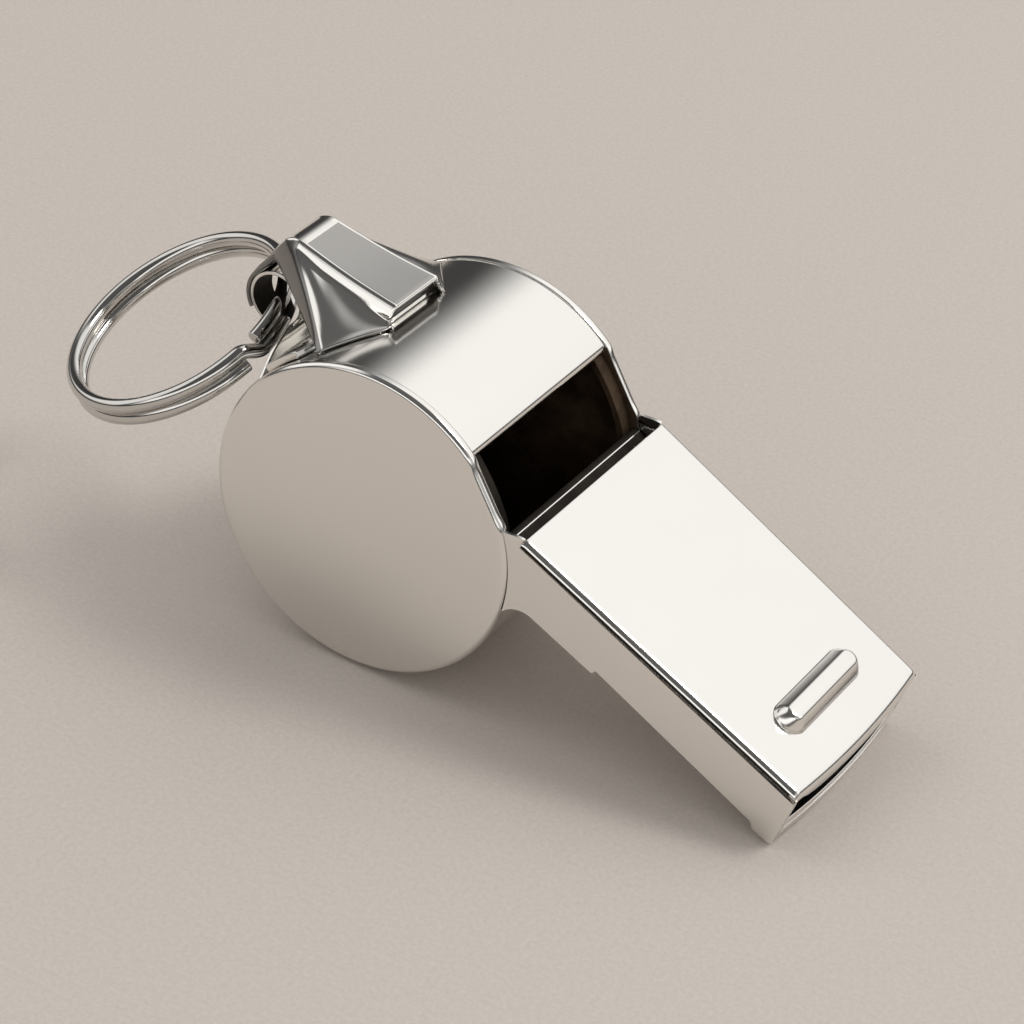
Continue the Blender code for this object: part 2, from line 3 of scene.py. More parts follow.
import json
import math

import bmesh
import bpy
from mathutils import Matrix, Vector


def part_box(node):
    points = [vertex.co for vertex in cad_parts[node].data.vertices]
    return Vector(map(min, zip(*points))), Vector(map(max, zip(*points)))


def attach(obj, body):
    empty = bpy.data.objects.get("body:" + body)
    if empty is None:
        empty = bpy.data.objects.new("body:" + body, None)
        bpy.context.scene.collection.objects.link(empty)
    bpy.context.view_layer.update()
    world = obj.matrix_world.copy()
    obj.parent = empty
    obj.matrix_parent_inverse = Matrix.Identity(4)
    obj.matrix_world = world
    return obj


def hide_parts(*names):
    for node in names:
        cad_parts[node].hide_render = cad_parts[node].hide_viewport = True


bl_info = {
    "name": "Pea Whistle",
    "version": (1, 0, 0),
    "blender": (4, 5, 0),
    "location": "3D View > Sidebar > Whistle",
    "description": "Builds a nickel-plated pea whistle with its split ring, stage and camera",
    "category": "Object",
}

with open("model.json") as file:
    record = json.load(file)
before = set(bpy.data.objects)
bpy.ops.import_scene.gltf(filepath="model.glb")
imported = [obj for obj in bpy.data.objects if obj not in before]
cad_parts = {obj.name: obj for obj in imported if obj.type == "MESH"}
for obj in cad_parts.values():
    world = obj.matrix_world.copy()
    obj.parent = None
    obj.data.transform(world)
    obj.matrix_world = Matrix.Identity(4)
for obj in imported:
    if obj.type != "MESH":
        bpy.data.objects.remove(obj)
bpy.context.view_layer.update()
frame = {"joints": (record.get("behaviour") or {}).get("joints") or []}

MM = 0.001
JOINT_PLACES = {joint["name"]: Vector(joint["pos_m"]) for joint in frame["joints"]}
REST_ANGLE = math.radians(25.9818)
REST = Matrix.Translation(JOINT_PLACES["pea_orbit"]) @ Matrix.Rotation(REST_ANGLE, 4, "Y")

# The parts' measures, as in the solids

SEAM = 0.25 * MM
CAP_THICKNESS = 0.85 * MM
CAP_OVERHANG = 0.12 * MM
LIP_ANGLE = math.radians(18.2)
THROAT_RADIUS = 2.0 * MM
WINDOW_RUN = 6.6 * MM
TOP_DROP = 2.65 * MM
TOP_LENGTH = 26.6 * MM
TOP_FALL = 0.22 * MM
FRONT_BULGE = 0.5 * MM
FRONT_LEAN = 0.157
TIP_NARROWING = 0.64 * MM
CHEEK_SETBACK = 0.17 * MM
CHEEK_TOP_ANGLE = math.radians(44)
MOUTH_DEPTH = 5.2 * MM
TONGUE_REACH = 5.9 * MM
TONGUE_STEP = 0.45 * MM
BOTTOM_FALL = 0.62 * MM
BOTTOM_RECESS = 0.25 * MM
FOOT_SETBACK = 1.35 * MM
FOOT_DROP = 0.38 * MM
FOOT_ROUND = 0.35 * MM
LIP_RISE = 1.0 * MM
LIP_RUN = 2.2 * MM
SADDLE_FRONT_ANGLE = math.radians(-40)
SADDLE_BACK_ANGLE = math.radians(-76)
SADDLE_SHARES = (0.3, 0.425, 0.575, 0.6875, 0.7625, 0.825, 0.925, 1.05, 1.05, 1.05, 1.05, 1.05, 1.05)
GUSSET_BASE_ANGLE = math.radians(-51.5)
GUSSET_BASE_HALF_WIDTH = 8.0 * MM
HOOD_FRONT_ANGLE = math.radians(-37.64)
HOOD_RIDGE_X = -17.2 * MM
HOOD_SLOPE = math.radians(14.4)
HOOD_RIDGE_RADIUS = 1.4 * MM
HOOD_BACK_LEAN = math.radians(12)
EYE_X = -16.71 * MM
EYE_Z = 2.15 * MM
EYE_BORE = 2.05 * MM
EYE_HALF = 1.25 * MM
EYE_CURL = math.radians(292)
STRAP_THICKNESS = 0.36 * MM
STRAP_FOOT_TOP_ANGLE = math.radians(-98)
STRAP_FOOT_BOTTOM_ANGLE = math.radians(-112)


class WhistleSizes(bpy.types.PropertyGroup):
    """Sizes of the fine surfaces."""

    sheet: bpy.props.FloatProperty(
        name="Sheet", description="Thickness of the sheet metal", default=0.6 * MM, unit="LENGTH"
    )
    barrel_radius: bpy.props.FloatProperty(
        name="Barrel radius", description="Outer radius of the barrel strip", default=12.6 * MM,
        unit="LENGTH",
    )
    width: bpy.props.FloatProperty(
        name="Width", description="Width over the two discs", default=20.2 * MM, unit="LENGTH"
    )
    cap_shoulder: bpy.props.FloatProperty(
        name="Disc shoulder", description="Radius of the discs' rounded edge", default=0.45 * MM,
        unit="LENGTH",
    )
    plate_edge: bpy.props.FloatProperty(
        name="Plate edge", description="Radius of the mouthpiece's long edges", default=0.58 * MM,
        unit="LENGTH",
    )
    wire_radius: bpy.props.FloatProperty(
        name="Ring wire", description="Radius of the split ring's wire", default=0.58 * MM,
        unit="LENGTH",
    )
    ring_radius: bpy.props.FloatProperty(
        name="Ring radius", description="Radius of the ring to its wire's middle", default=9.15 * MM,
        unit="LENGTH",
    )
    wire_spacing: bpy.props.FloatProperty(
        name="Wire spacing", description="Distance between the ring's two turns", default=1.17 * MM,
        unit="LENGTH",
    )
    pea_radius: bpy.props.FloatProperty(
        name="Pea radius", description="Radius of the cork ball", default=5.5 * MM, unit="LENGTH"
    )


class WhistleColours(bpy.types.PropertyGroup):
    """Colours of the finishes and the stage."""

    nickel: bpy.props.FloatVectorProperty(
        name="Nickel", description="Colour of the polished plate", default=(0.86, 0.843, 0.812),
        size=3, subtype="COLOR",
    )
    # Near black: painted shade for the hollows, the seams and the hood's toe
    inside: bpy.props.FloatVectorProperty(
        name="Inside", description="Colour of the dull metal inside", default=(0.02, 0.016, 0.012),
        size=3, subtype="COLOR",
    )
    chamber: bpy.props.FloatVectorProperty(
        name="Chamber", description="Colour of the tarnished disc inside the barrel",
        default=(0.07, 0.046, 0.028), size=3, subtype="COLOR",
    )
    cork: bpy.props.FloatVectorProperty(
        name="Cork", description="Colour of the cork", default=(0.30, 0.17, 0.085), size=3,
        subtype="COLOR",
    )
    floor: bpy.props.FloatVectorProperty(
        name="Floor", description="Colour of the table", default=(0.59, 0.537, 0.492), size=3,
        subtype="COLOR",
    )


# Finishes

# How fine the polishing lines are across X, Y and Z

POLISHING_LINES = (9000, 600, 9000)

# Each nickel's brightness against the plate's colour, its roughness, brushing and waviness. The hood
# panel's and the folds' lower brightness is painted shade.

NICKELS = {
    "plate_nickel": (1.0, 0.16, 0.25, 0.05),
    "strip_nickel": (1.0, 0.15, 0.3, 0.05),
    "lug_nickel_finish": (1.0, 0.13, 0.2, 0.1),
    # Painted shade: the hood's panel is a darker copy of the plate's nickel
    "hood_panel_painted_shade": (0.46, 0.2, 0.3, 0.12),
    # Painted shade: the step under the hood's brow and the folds behind its ridge
    "fold_painted_shade": (0.3, 0.2, 0.3, 0.12),
    "wire_nickel": (0.76, 0.1, 0.2, 0.05),
}


def node(tree, kind, **settings):
    """A node with these values: on its properties or, for names with a capital, on its inputs.

    An input whose value is another node's output is linked to it."""
    made = tree.nodes.new(kind)
    for name, value in settings.items():
        if name[0].islower():
            setattr(made, name, value)
        elif isinstance(value, bpy.types.NodeSocket):
            tree.links.new(value, made.inputs[name.replace("_", " ")])
        else:
            made.inputs[name.replace("_", " ")].default_value = value
    return made


def shades(tree, value, colour, dark, pale):
    """The colour from a dark to a pale shade of it. Each end is a (value, brightness) pair."""
    ramp = node(tree, "ShaderNodeValToRGB", Fac=value)
    for stop, (place, brightness) in zip(ramp.color_ramp.elements, (dark, pale)):
        stop.position = place
        stop.color = (*[min(1, c * brightness) for c in colour], 1)
    return ramp.outputs["Color"]


def new_finish(name, **values):
    """A new material with these values on its shader: the material, tree, shader and Object place."""
    made = bpy.data.materials.new(name)
    made.use_nodes = True
    tree = made.node_tree
    shader = tree.nodes["Principled BSDF"]
    for socket, value in values.items():
        shader.inputs[socket.replace("_", " ")].default_value = value
    return made, tree, shader, node(tree, "ShaderNodeTexCoord").outputs["Object"]


def nickel_finish(name, colour, roughness, brushing, waviness):
    """Polished plate: fine polishing lines, faint clouding and a slight unevenness of the sheet."""
    made, tree, shader, place = new_finish(name, Base_Color=(*colour, 1), Metallic=1.0)
    cloud = node(tree, "ShaderNodeTexNoise", Vector=place, Scale=260.0, Detail=4.0, Roughness=0.55)
    level = node(
        tree, "ShaderNodeMapRange", Value=cloud.outputs["Fac"], To_Min=roughness * 0.8,
        To_Max=roughness * 1.25,
    )
    tree.links.new(level.outputs["Result"], shader.inputs["Roughness"])
    stretch = node(tree, "ShaderNodeMapping", Vector=place, Scale=POLISHING_LINES)
    lines = node(
        tree, "ShaderNodeTexNoise", Vector=stretch.outputs["Vector"], Scale=1.0, Detail=2.0
    )
    fine = node(
        tree, "ShaderNodeBump", Height=lines.outputs["Fac"], Strength=brushing, Distance=0.004 * MM
    )
    sway = node(tree, "ShaderNodeTexNoise", Vector=place, Scale=90.0, Detail=1.0)
    broad = node(
        tree, "ShaderNodeBump", Height=sway.outputs["Fac"], Normal=fine.outputs["Normal"],
        Strength=waviness, Distance=0.05 * MM,
    )
    tree.links.new(broad.outputs["Normal"], shader.inputs["Normal"])
    return made


def shade_and_tarnish_finish(name, colour):
    """A dark, mottled and rough finish: painted shade for the hollows, the seams and the hood's toe, and
    the tarnish of the disc inside the barrel.
    """
    made, tree, shader, place = new_finish(
        name, Metallic=0.4, Roughness=0.6, Specular_IOR_Level=0.15
    )
    patches = node(tree, "ShaderNodeTexNoise", Vector=place, Scale=330.0, Detail=5.0, Roughness=0.65)
    tint = shades(tree, patches.outputs["Fac"], colour, (0.35, 0.45), (0.75, 1.8))
    tree.links.new(tint, shader.inputs["Base Color"])
    return made


def cork_finish(name, colour):
    """Cork: pale and dark granules with small pits."""
    made, tree, shader, place = new_finish(name, Roughness=0.85)
    grains = node(tree, "ShaderNodeTexVoronoi", Vector=place, Scale=900.0)
    split = node(tree, "ShaderNodeSeparateColor", Color=grains.outputs["Color"])
    tint = shades(tree, split.outputs["Red"], colour, (0.0, 0.45), (1.0, 1.5))
    tree.links.new(tint, shader.inputs["Base Color"])
    pits = node(
        tree, "ShaderNodeBump", Height=grains.outputs["Distance"], Strength=0.6, Distance=0.15 * MM
    )
    tree.links.new(pits.outputs["Normal"], shader.inputs["Normal"])
    return made


def table_finish(name, colour):
    """The table's pale, faintly grained paper."""
    made, tree, shader, place = new_finish(name, Roughness=0.9, Specular_IOR_Level=0.1)
    grain = node(tree, "ShaderNodeTexNoise", Vector=place, Scale=2600.0, Detail=3.0, Roughness=0.7)
    tint = shades(tree, grain.outputs["Fac"], colour, (0.3, 0.94), (0.7, 1.06))
    tree.links.new(tint, shader.inputs["Base Color"])
    tooth = node(
        tree, "ShaderNodeBump", Height=grain.outputs["Fac"], Strength=0.35, Distance=0.08 * MM
    )
    tree.links.new(tooth.outputs["Normal"], shader.inputs["Normal"])
    return made


def finish_named(name):
    """The finish of that name, made when it is first asked for."""
    if name in bpy.data.materials:
        return bpy.data.materials[name]
    colours = bpy.context.scene.whistle_colours
    if name in NICKELS:
        brightness, *surface = NICKELS[name]
        return nickel_finish(name, [c * brightness for c in colours.nickel], *surface)
    if name == "painted_shade_dark":
        return shade_and_tarnish_finish(name, colours.inside)
    if name == "tarnished_inside":
        return shade_and_tarnish_finish(name, colours.chamber)
    if name == "cork_grains":
        return cork_finish(name, colours.cork)
    return table_finish(name, colours.floor)


# Lines and meshes, with the whistle level: the barrel's axis is Y, and the mouthpiece points along X

AXIS = Vector((0, 0))

# Places across a plate, from -1 at one side to 1 at the other

EIGHTHS = [i / 8 - 1 for i in range(17)]


def on_circle(radius, angle):
    """The (x, z) point at this angle from +Z towards +X, round the barrel's axis."""
    return Vector((radius * math.sin(angle), radius * math.cos(angle)))


def arc(centre, radius, start, end, step=math.radians(1.5)):
    """(x, z) points round a centre, with angles measured as on_circle does."""
    steps = max(2, math.ceil(abs(end - start) / step))
    return [centre + on_circle(radius, start + (end - start) * i / steps) for i in range(steps + 1)]


def bezier(a, b, c, d, steps):
    """Points on a cubic curve, without its first point."""
    found = []
    for i in range(1, steps + 1):
        t = i / steps
        u = 1 - t
        found.append(a * u**3 + b * 3 * u * u * t + c * 3 * u * t * t + d * t**3)
    return found


def smooth(t):
    """A soft step from 0 to 1."""
    t = min(1, max(0, t))
    return t * t * (3 - 2 * t)


def between(start, end, share):
    """The value at this share of the way from start to end."""
    return start + (end - start) * share


class Lines:
    """Heights and widths along the level whistle, from the sizes."""

    def __init__(self):
        sizes = bpy.context.scene.whistle_sizes
        self.sheet = sizes.sheet
        self.radius = sizes.barrel_radius
        self.width = sizes.width
        lip = on_circle(self.radius, LIP_ANGLE)
        self.back_x = lip.x + WINDOW_RUN
        self.back_z = self.radius - TOP_DROP
        self.tip_x = self.back_x + TOP_LENGTH
        self.cap_radius = self.radius + CAP_OVERHANG
        self.throat_z = self.back_z - MOUTH_DEPTH
        centre_z = self.throat_z - THROAT_RADIUS
        self.throat = Vector((math.sqrt((self.radius + THROAT_RADIUS) ** 2 - centre_z**2), centre_z))
        self.throat_angle = math.atan2(self.throat.x, self.throat.y)
        self.tongue_x = self.throat.x + TONGUE_REACH

    def along(self, x):
        """How far along the mouthpiece's top, from 0 at the window to 1 at the tip."""
        return (x - self.back_x) / TOP_LENGTH

    def half_width(self, x):
        """Half the mouthpiece's width over its cheeks."""
        return self.width / 2 - CHEEK_SETBACK - TIP_NARROWING * self.along(x)

    def inner_half_width(self, x):
        """Half the width of a plate that fits between the cheeks."""
        return self.half_width(x) - self.sheet - SEAM * 0.2

    def barrel_half_width(self):
        """Half the width of the strip that fits between the discs."""
        return self.width / 2 - CAP_THICKNESS - 0.01 * MM

    def top_z(self, x):
        """The height of the mouthpiece's top."""
        return self.back_z - TOP_FALL * self.along(x)

    def bottom_z(self, x):
        """The height of the mouthpiece's underside past the tongue."""
        run = (x - self.tongue_x) / (self.tip_x - self.tongue_x)
        return self.throat_z + TONGUE_STEP - BOTTOM_FALL * run

    def front_x(self, z):
        """Where the leaning front is at this height."""
        return self.tip_x + FRONT_LEAN * (self.top_z(self.tip_x) - z)

    def round_throat(self, radius, clear):
        """The angle from the throat's centre to the point on this radius that is so far from it."""
        reach = self.throat.length
        return math.acos((reach**2 + radius**2 - clear**2) / (2 * reach * radius))


def add_object(name, data):
    """A new object with this data, in the scene."""
    made = bpy.data.objects.new(name, data)
    bpy.context.scene.collection.objects.link(made)
    return made


def loft(sections):
    """A bmesh through closed sections that all have as many points."""
    bm = bmesh.new()
    rings = [[bm.verts.new(point) for point in section] for section in sections]
    count = len(rings[0])
    for near, far in zip(rings, rings[1:]):
        for i in range(count):
            j = (i + 1) % count
            bm.faces.new((near[i], near[j], far[j], far[i]))
    bm.faces.new(rings[0])
    bm.faces.new(rings[-1])
    return bm


def grid_mesh(grid):
    """A bmesh of one open sheet through rows of points."""
    bm = bmesh.new()
    rows = [[bm.verts.new(point) for point in row] for row in grid]
    for near, far in zip(rows, rows[1:]):
        for i in range(len(near) - 1):
            bm.faces.new((near[i], near[i + 1], far[i + 1], far[i]))
    return bm


def turned(profile, segments):
    """A bmesh turned round Y from (radius, y) points whose first and last lie on the axis."""
    bm = bmesh.new()
    turns = [math.tau * i / segments for i in range(segments)]
    rings = []
    for radius, y in profile[1:-1]:
        rings.append([bm.verts.new((radius * math.cos(t), y, radius * math.sin(t))) for t in turns])
    poles = [bm.verts.new((0, profile[end][1], 0)) for end in (0, -1)]
    for i in range(segments):
        j = (i + 1) % segments
        for near, far in zip(rings, rings[1:]):
            bm.faces.new((near[i], near[j], far[j], far[i]))
        for pole, ring in zip(poles, (rings[0], rings[-1])):
            bm.faces.new((pole, ring[i], ring[j]))
    return bm


def piece(name, bm, finishes, turn=True):
    """A named object from a bmesh, tipped to the whistle's rest, with its faces pointing out."""
    bmesh.ops.recalc_face_normals(bm, faces=bm.faces)
    if turn:
        bmesh.ops.transform(bm, matrix=REST, verts=bm.verts)
    mesh = bpy.data.meshes.new(name)
    bm.to_mesh(mesh)
    bm.free()
    for finish in finishes:
        mesh.materials.append(finish_named(finish))
    mesh.shade_smooth()
    return add_object(name, mesh)


def thicken(made, thickness):
    """Gives a sheet its thickness, half to each side."""
    wall = made.modifiers.new("sheet", "SOLIDIFY")
    wall.thickness = thickness
    wall.offset = 0
    wall.use_even_offset = True
    return wall


def soften(made, width, angle=math.radians(35)):
    """Rounds a piece's hard edges and keeps the flats flat."""
    bevel = made.modifiers.new("edges", "BEVEL")
    bevel.width = width
    bevel.segments = 3
    bevel.limit_method = "ANGLE"
    bevel.angle_limit = angle
    bevel.use_clamp_overlap = True
    bevel.harden_normals = True


def sheet_piece(name, bm, finishes, thickness, edge):
    """A sheet-metal piece from its middle surface, with its edges rounded by this radius."""
    made = piece(name, bm, finishes)
    thicken(made, thickness)
    soften(made, edge)
    return made


def make_real(made):
    """Turns what an object's modifiers show into its mesh."""
    bpy.context.view_layer.update()
    graph = bpy.context.evaluated_depsgraph_get()
    mesh = bpy.data.meshes.new_from_object(
        made.evaluated_get(graph), preserve_all_data_layers=True, depsgraph=graph
    )
    made.modifiers.clear()
    made.data = mesh


def settle(made, body, node_name):
    """Makes the modifiers real, and lets the piece stand for its solid."""
    make_real(made)
    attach(made, body)
    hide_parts(node_name)
    return made


# Barrel


LIP_ROLL = 0.32 * MM
LIP_ROLL_REACH = 0.58 * MM
LIP_ROLL_TURN = math.radians(75)


def build_barrel_strip():
    """The strip round the barrel, from its rolled lip to the tongue under the mouthpiece."""
    lines = Lines()
    middle = lines.radius - lines.sheet / 2
    roll_angle = LIP_ANGLE - LIP_ROLL_REACH / middle
    roll_centre = on_circle(middle - LIP_ROLL, roll_angle)
    path = arc(roll_centre, LIP_ROLL, roll_angle + LIP_ROLL_TURN, roll_angle, math.radians(9))[:-1]
    path += arc(AXIS, middle, roll_angle, lines.throat_angle - math.tau)
    throat_start = lines.throat_angle - math.pi
    path += arc(lines.throat, THROAT_RADIUS + lines.sheet / 2, throat_start, 0, math.radians(5))[1:]
    path.append(Vector((lines.tongue_x, lines.throat_z + lines.sheet / 2)))
    grid = []
    for point in path:
        half = lines.barrel_half_width()
        if point.x > lines.throat.x - THROAT_RADIUS:
            half = min(half, lines.inner_half_width(point.x))
        grid.append([Vector((point.x, v * half, point.y)) for v in (-1, -0.5, 0, 0.5, 1)])
    finishes = ("strip_nickel", "painted_shade_dark")
    return sheet_piece("barrel_strip_fine", grid_mesh(grid), finishes, lines.sheet, edge=0.045 * MM)


def paint_shade_on_inward_faces(made, centre, radius, facing):
    """Gives the second finish, painted shade, to faces that look at a line along Y and lie within a radius
    of it.
    """
    for face in made.data.polygons:
        arm = face.center - centre
        arm.y = 0
        if arm.length < radius and face.normal.dot(arm.normalized()) < -facing:
            face.material_index = 1


SPIGOT_GAP = 0.02 * MM
SPIGOT_THICKNESS = 0.55 * MM
SPIGOT_DEPTH = 1.2 * MM
RIM_ROUND = 0.12 * MM
RIM_CORNER = 0.035 * MM


def cap_profile(lines, side):
    """(radius, y) points of a pressed disc: flat face, rounded shoulder, rim, spigot."""
    shoulder = bpy.context.scene.whistle_sizes.cap_shoulder
    rim = lines.cap_radius
    face = lines.width / 2
    back = face - CAP_THICKNESS
    spigot_out = lines.radius - lines.sheet - SPIGOT_GAP
    spigot_in = spigot_out - SPIGOT_THICKNESS
    points = [(0, face), (rim * 0.5, face), (rim - shoulder - 0.5 * MM, face)]
    for i in range(13):
        turn = math.radians(90) * i / 12
        points.append(
            (rim - shoulder + shoulder * math.sin(turn), face - shoulder + shoulder * math.cos(turn))
        )
    points += [(rim, back + RIM_ROUND), (rim - RIM_CORNER, back + RIM_CORNER), (rim - RIM_ROUND, back)]
    points += [(spigot_out, back), (spigot_out, back - SPIGOT_DEPTH)]
    points += [(spigot_in, back - SPIGOT_DEPTH), (spigot_in, back), (spigot_in * 0.5, back), (0, back)]
    return [(radius, side * y) for radius, y in points]


RIM_BAND = 0.9 * MM
RIM_FADE = 0.5 * MM
RIM_STEP = 0.07 * MM
RIM_STEP_SPREAD = math.radians(5)
CAP_SEGMENTS = 240


def dip_rim(bm, radius):
    """Flattens the disc's rim to a chord beside the window, between the lip and the cheek."""
    half = (CHEEK_TOP_ANGLE - LIP_ANGLE) / 2
    middle = (CHEEK_TOP_ANGLE + LIP_ANGLE) / 2
    for vert in bm.verts:
        reach = math.hypot(vert.co.x, vert.co.z)
        turn = math.atan2(vert.co.x, vert.co.z)
        if abs(turn - middle) < half and reach > radius - RIM_BAND:
            fade = smooth((reach - radius + RIM_BAND) / RIM_FADE)
            chord = radius * (1 - math.cos(half) / math.cos(turn - middle))
            step = RIM_STEP * smooth((half - abs(turn - middle)) / RIM_STEP_SPREAD)
            scale = 1 - (chord + step) * fade / reach
            vert.co.x *= scale
            vert.co.z *= scale


def build_cap(name, side):
    """A pressed disc, bright outside. Inside the barrel its faces are tarnished on the left disc and
    painted dark as shade on the right one.
    """
    lines = Lines()
    bm = turned(cap_profile(lines, side), CAP_SEGMENTS)
    for face in bm.faces:
        middle = face.calc_center_median()
        inner = abs(middle.y) < lines.width / 2 - CAP_THICKNESS * 0.9
        if inner and math.hypot(middle.x, middle.z) < lines.radius - 0.1 * MM:
            face.material_index = 1
    dip_rim(bm, lines.cap_radius)
    # The right disc's inner faces are painted shade; the left one's are tarnished
    inside = "tarnished_inside" if side > 0 else "painted_shade_dark"
    made = piece(name + "_fine", bm, ("strip_nickel", inside))
    made.data.set_sharp_from_angle(angle=math.radians(40))
    return made


class WHISTLE_OT_barrel(bpy.types.Operator):
    """Build the barrel strip and its two pressed discs"""

    bl_idname = "whistle.barrel"
    bl_label = "Barrel"

    def execute(self, context):
        lines = Lines()
        strip = settle(build_barrel_strip(), "whistle", "barrel_strip")
        # Painted shade: the strip's faces towards the axis are dark
        paint_shade_on_inward_faces(strip, REST.translation, lines.radius - lines.sheet * 0.8, 0)
        for name, side in (("left_end_cap", 1), ("right_end_cap", -1)):
            settle(build_cap(name, side), "whistle", name)
        return {"FINISHED"}


# Mouthpiece


CHEEK_GAP = 0.05 * MM


def cheek_outline(lines):
    """The side panel's (x, z) outline, from its top corner at the window round to the tip and back."""
    rim = lines.cap_radius + CHEEK_GAP
    rear_low = lines.throat_angle - lines.round_throat(rim, THROAT_RADIUS)
    rear = arc(AXIS, rim, CHEEK_TOP_ANGLE, rear_low)
    meet = rear[-1] - lines.throat
    lower = arc(lines.throat, THROAT_RADIUS, math.atan2(meet.x, meet.y), 0, math.radians(4))[1:]
    foot_x = lines.tip_x - FOOT_SETBACK
    foot_z = lines.bottom_z(lines.tip_x) - FOOT_DROP
    corner = Vector((lines.front_x(foot_z) - FOOT_ROUND, foot_z))
    rise = Vector((lines.front_x(foot_z + FOOT_ROUND), foot_z + FOOT_ROUND))
    lower += [
        Vector((lines.tongue_x, lines.throat_z)),
        Vector((lines.tongue_x + 0.15 * MM, lines.bottom_z(lines.tongue_x))),
        Vector((foot_x, lines.bottom_z(foot_x))),
        Vector((foot_x + FOOT_DROP, foot_z)),
        corner,
    ]
    ahead = corner + Vector((FOOT_ROUND * 0.6, 0))
    lower += bezier(corner, ahead, rise - Vector((0, FOOT_ROUND * 0.6)), rise, 5)
    under_top = lines.sheet * 0.9
    step = lines.back_x - CHEEK_GAP
    tip_top = lines.top_z(lines.tip_x) - under_top
    upper = [
        Vector((lines.front_x(tip_top), tip_top)),
        Vector((step, lines.top_z(step) - under_top)),
        Vector((step, lines.top_z(step))),
    ]
    flare_start = upper[-1] + Vector((-0.4 * MM, 0))
    flare_end = rear[0] + Vector((0.5 * MM, 0.2 * MM))
    return rear + lower + upper + bezier(upper[-1], flare_start, flare_end, rear[0], 10)[:-1]


CHEEK_ROUND = 0.3 * MM
CHEEK_ROUND_FALL = 0.03 * MM
CHEEK_INNER_FALL = 0.55 * MM


def build_cheek(name, side):
    """A flat side panel. Beside the window its inner side lies lower than its outer one."""
    lines = Lines()
    sections = []
    for reach, drop in ((0, 0), (CHEEK_ROUND, CHEEK_ROUND_FALL), (lines.sheet, CHEEK_INNER_FALL)):
        section = []
        for p in cheek_outline(lines):
            beside_window = p.x < lines.back_x and p.y > lines.back_z - lines.sheet * 1.6
            fall = drop if beside_window else 0
            section.append(Vector((p.x, side * (lines.half_width(p.x) - reach), p.y - fall)))
        sections.append(section)
    bm = loft(sections)
    # Painted shade: the inner faces beside the window are dark
    for face in bm.faces:
        middle = face.calc_center_median()
        within = abs(middle.y) < lines.half_width(middle.x) - 0.35 * MM
        if within and middle.x < lines.back_x + 1.0 * MM:
            face.material_index = 1
    made = piece(name + "_fine", bm, ("plate_nickel", "painted_shade_dark"))
    soften(made, 0.07 * MM)
    return made


FRONT_LIP_DROP = 0.75 * MM
PLATE_OVERHANG = 0.2 * MM


def top_plate_section(lines, roll, edge, v):
    """The top plate's closed section at v, from -1 to 1 across it, with its turned-down front lip."""
    reach = max(0, (abs(v) - 1 + edge) / edge)
    sink = roll * (1 - math.sqrt(1 - min(1, reach) ** 2))
    front = lines.tip_x + FRONT_BULGE * (1 - v * v)
    low = lines.sheet * 1.03 + FRONT_LIP_DROP * max(0, 1 - (abs(v) / 0.9) ** 8)
    outline = [(lines.back_x + 0.05 * MM, -sink), (lines.back_x + 0.3 * MM, -sink)]
    outline.append((front - 3 * roll, -sink))
    for i in range(7):
        turn = math.radians(90) * i / 6
        x = front - roll + roll * math.sin(turn)
        z = -roll + roll * math.cos(turn) - sink * (1 - 0.55 * math.sin(turn))
        outline.append((x + FRONT_LEAN * roll * math.sin(turn), z))
    outline += [
        (front + FRONT_LEAN * (low - 0.15 * MM), -low + 0.15 * MM),
        (front + FRONT_LEAN * low - 0.12 * MM, -low),
        (front - lines.sheet, -low),
        (front - lines.sheet * 1.1, -lines.sheet),
        (lines.back_x + 0.05 * MM, -lines.sheet),
        (lines.back_x, -lines.sheet + 0.05 * MM),
        (lines.back_x, -sink - 0.05 * MM),
    ]
    return [
        Vector((x, v * (lines.half_width(x) + PLATE_OVERHANG), lines.top_z(x) + z)) for x, z in outline
    ]


def build_top_plate():
    """The top plate, with rolled long edges, a line of painted shade along the bottom of each roll, and a
    bulging front lip.
    """
    lines = Lines()
    roll = bpy.context.scene.whistle_sizes.plate_edge
    edge = roll / lines.half_width(lines.tip_x)
    rounds = [1 - edge * (1 - math.sin(math.radians(90) * i / 8)) for i in range(9)]
    flat = [0.92 - 0.04 * i for i in range(23)]
    across = [-v for v in reversed(rounds)] + [-v for v in flat] + [0] + flat[::-1] + rounds
    sections = [top_plate_section(lines, roll, edge, v) for v in across]
    bm = loft(sections)
    bm.faces.ensure_lookup_table()
    strips = len(sections) - 1
    # Painted shade: a dark line along the bottom of each rolled edge
    for strip in (0, 1, strips - 2, strips - 1):
        for place in range(3):
            bm.faces[strip * len(sections[0]) + place].material_index = 1
    made = piece("mouth_top_plate_fine", bm, ("plate_nickel", "painted_shade_dark"))
    made.data.set_sharp_from_angle(angle=math.radians(50))
    return made


def bottom_line(lines):
    """The bottom plate's middle line: almost level at first, then rising to the mouth's lower lip."""
    start = lines.tongue_x + SEAM * 0.4
    bend = lines.tip_x - LIP_RUN + FRONT_LEAN * MOUTH_DEPTH
    offset = BOTTOM_RECESS + lines.sheet / 2
    tip_z = lines.bottom_z(lines.tip_x) + offset + LIP_RISE
    return [
        Vector((start, lines.bottom_z(start) + offset)),
        Vector((bend, lines.bottom_z(bend) + offset)),
        Vector((lines.front_x(tip_z), tip_z)),
    ]


def build_bottom_plate():
    """The underside, rising to the lower lip."""
    lines = Lines()
    start, bend, tip = bottom_line(lines)
    level_end = start.lerp(bend, 0.9)
    path = [start, level_end, *bezier(level_end, bend, bend, bend.lerp(tip, 0.45), 8), tip]
    grid = []
    for point in path:
        half = lines.inner_half_width(point.x)
        bulge = FRONT_BULGE * smooth((point.x - bend.x) / (tip.x - bend.x))
        grid.append([Vector((point.x + bulge * (1 - v * v), v * half, point.y)) for v in EIGHTHS])
    bm = grid_mesh(grid)
    return sheet_piece("mouth_bottom_plate_fine", bm, ("plate_nickel",), lines.sheet, edge=0.08 * MM)


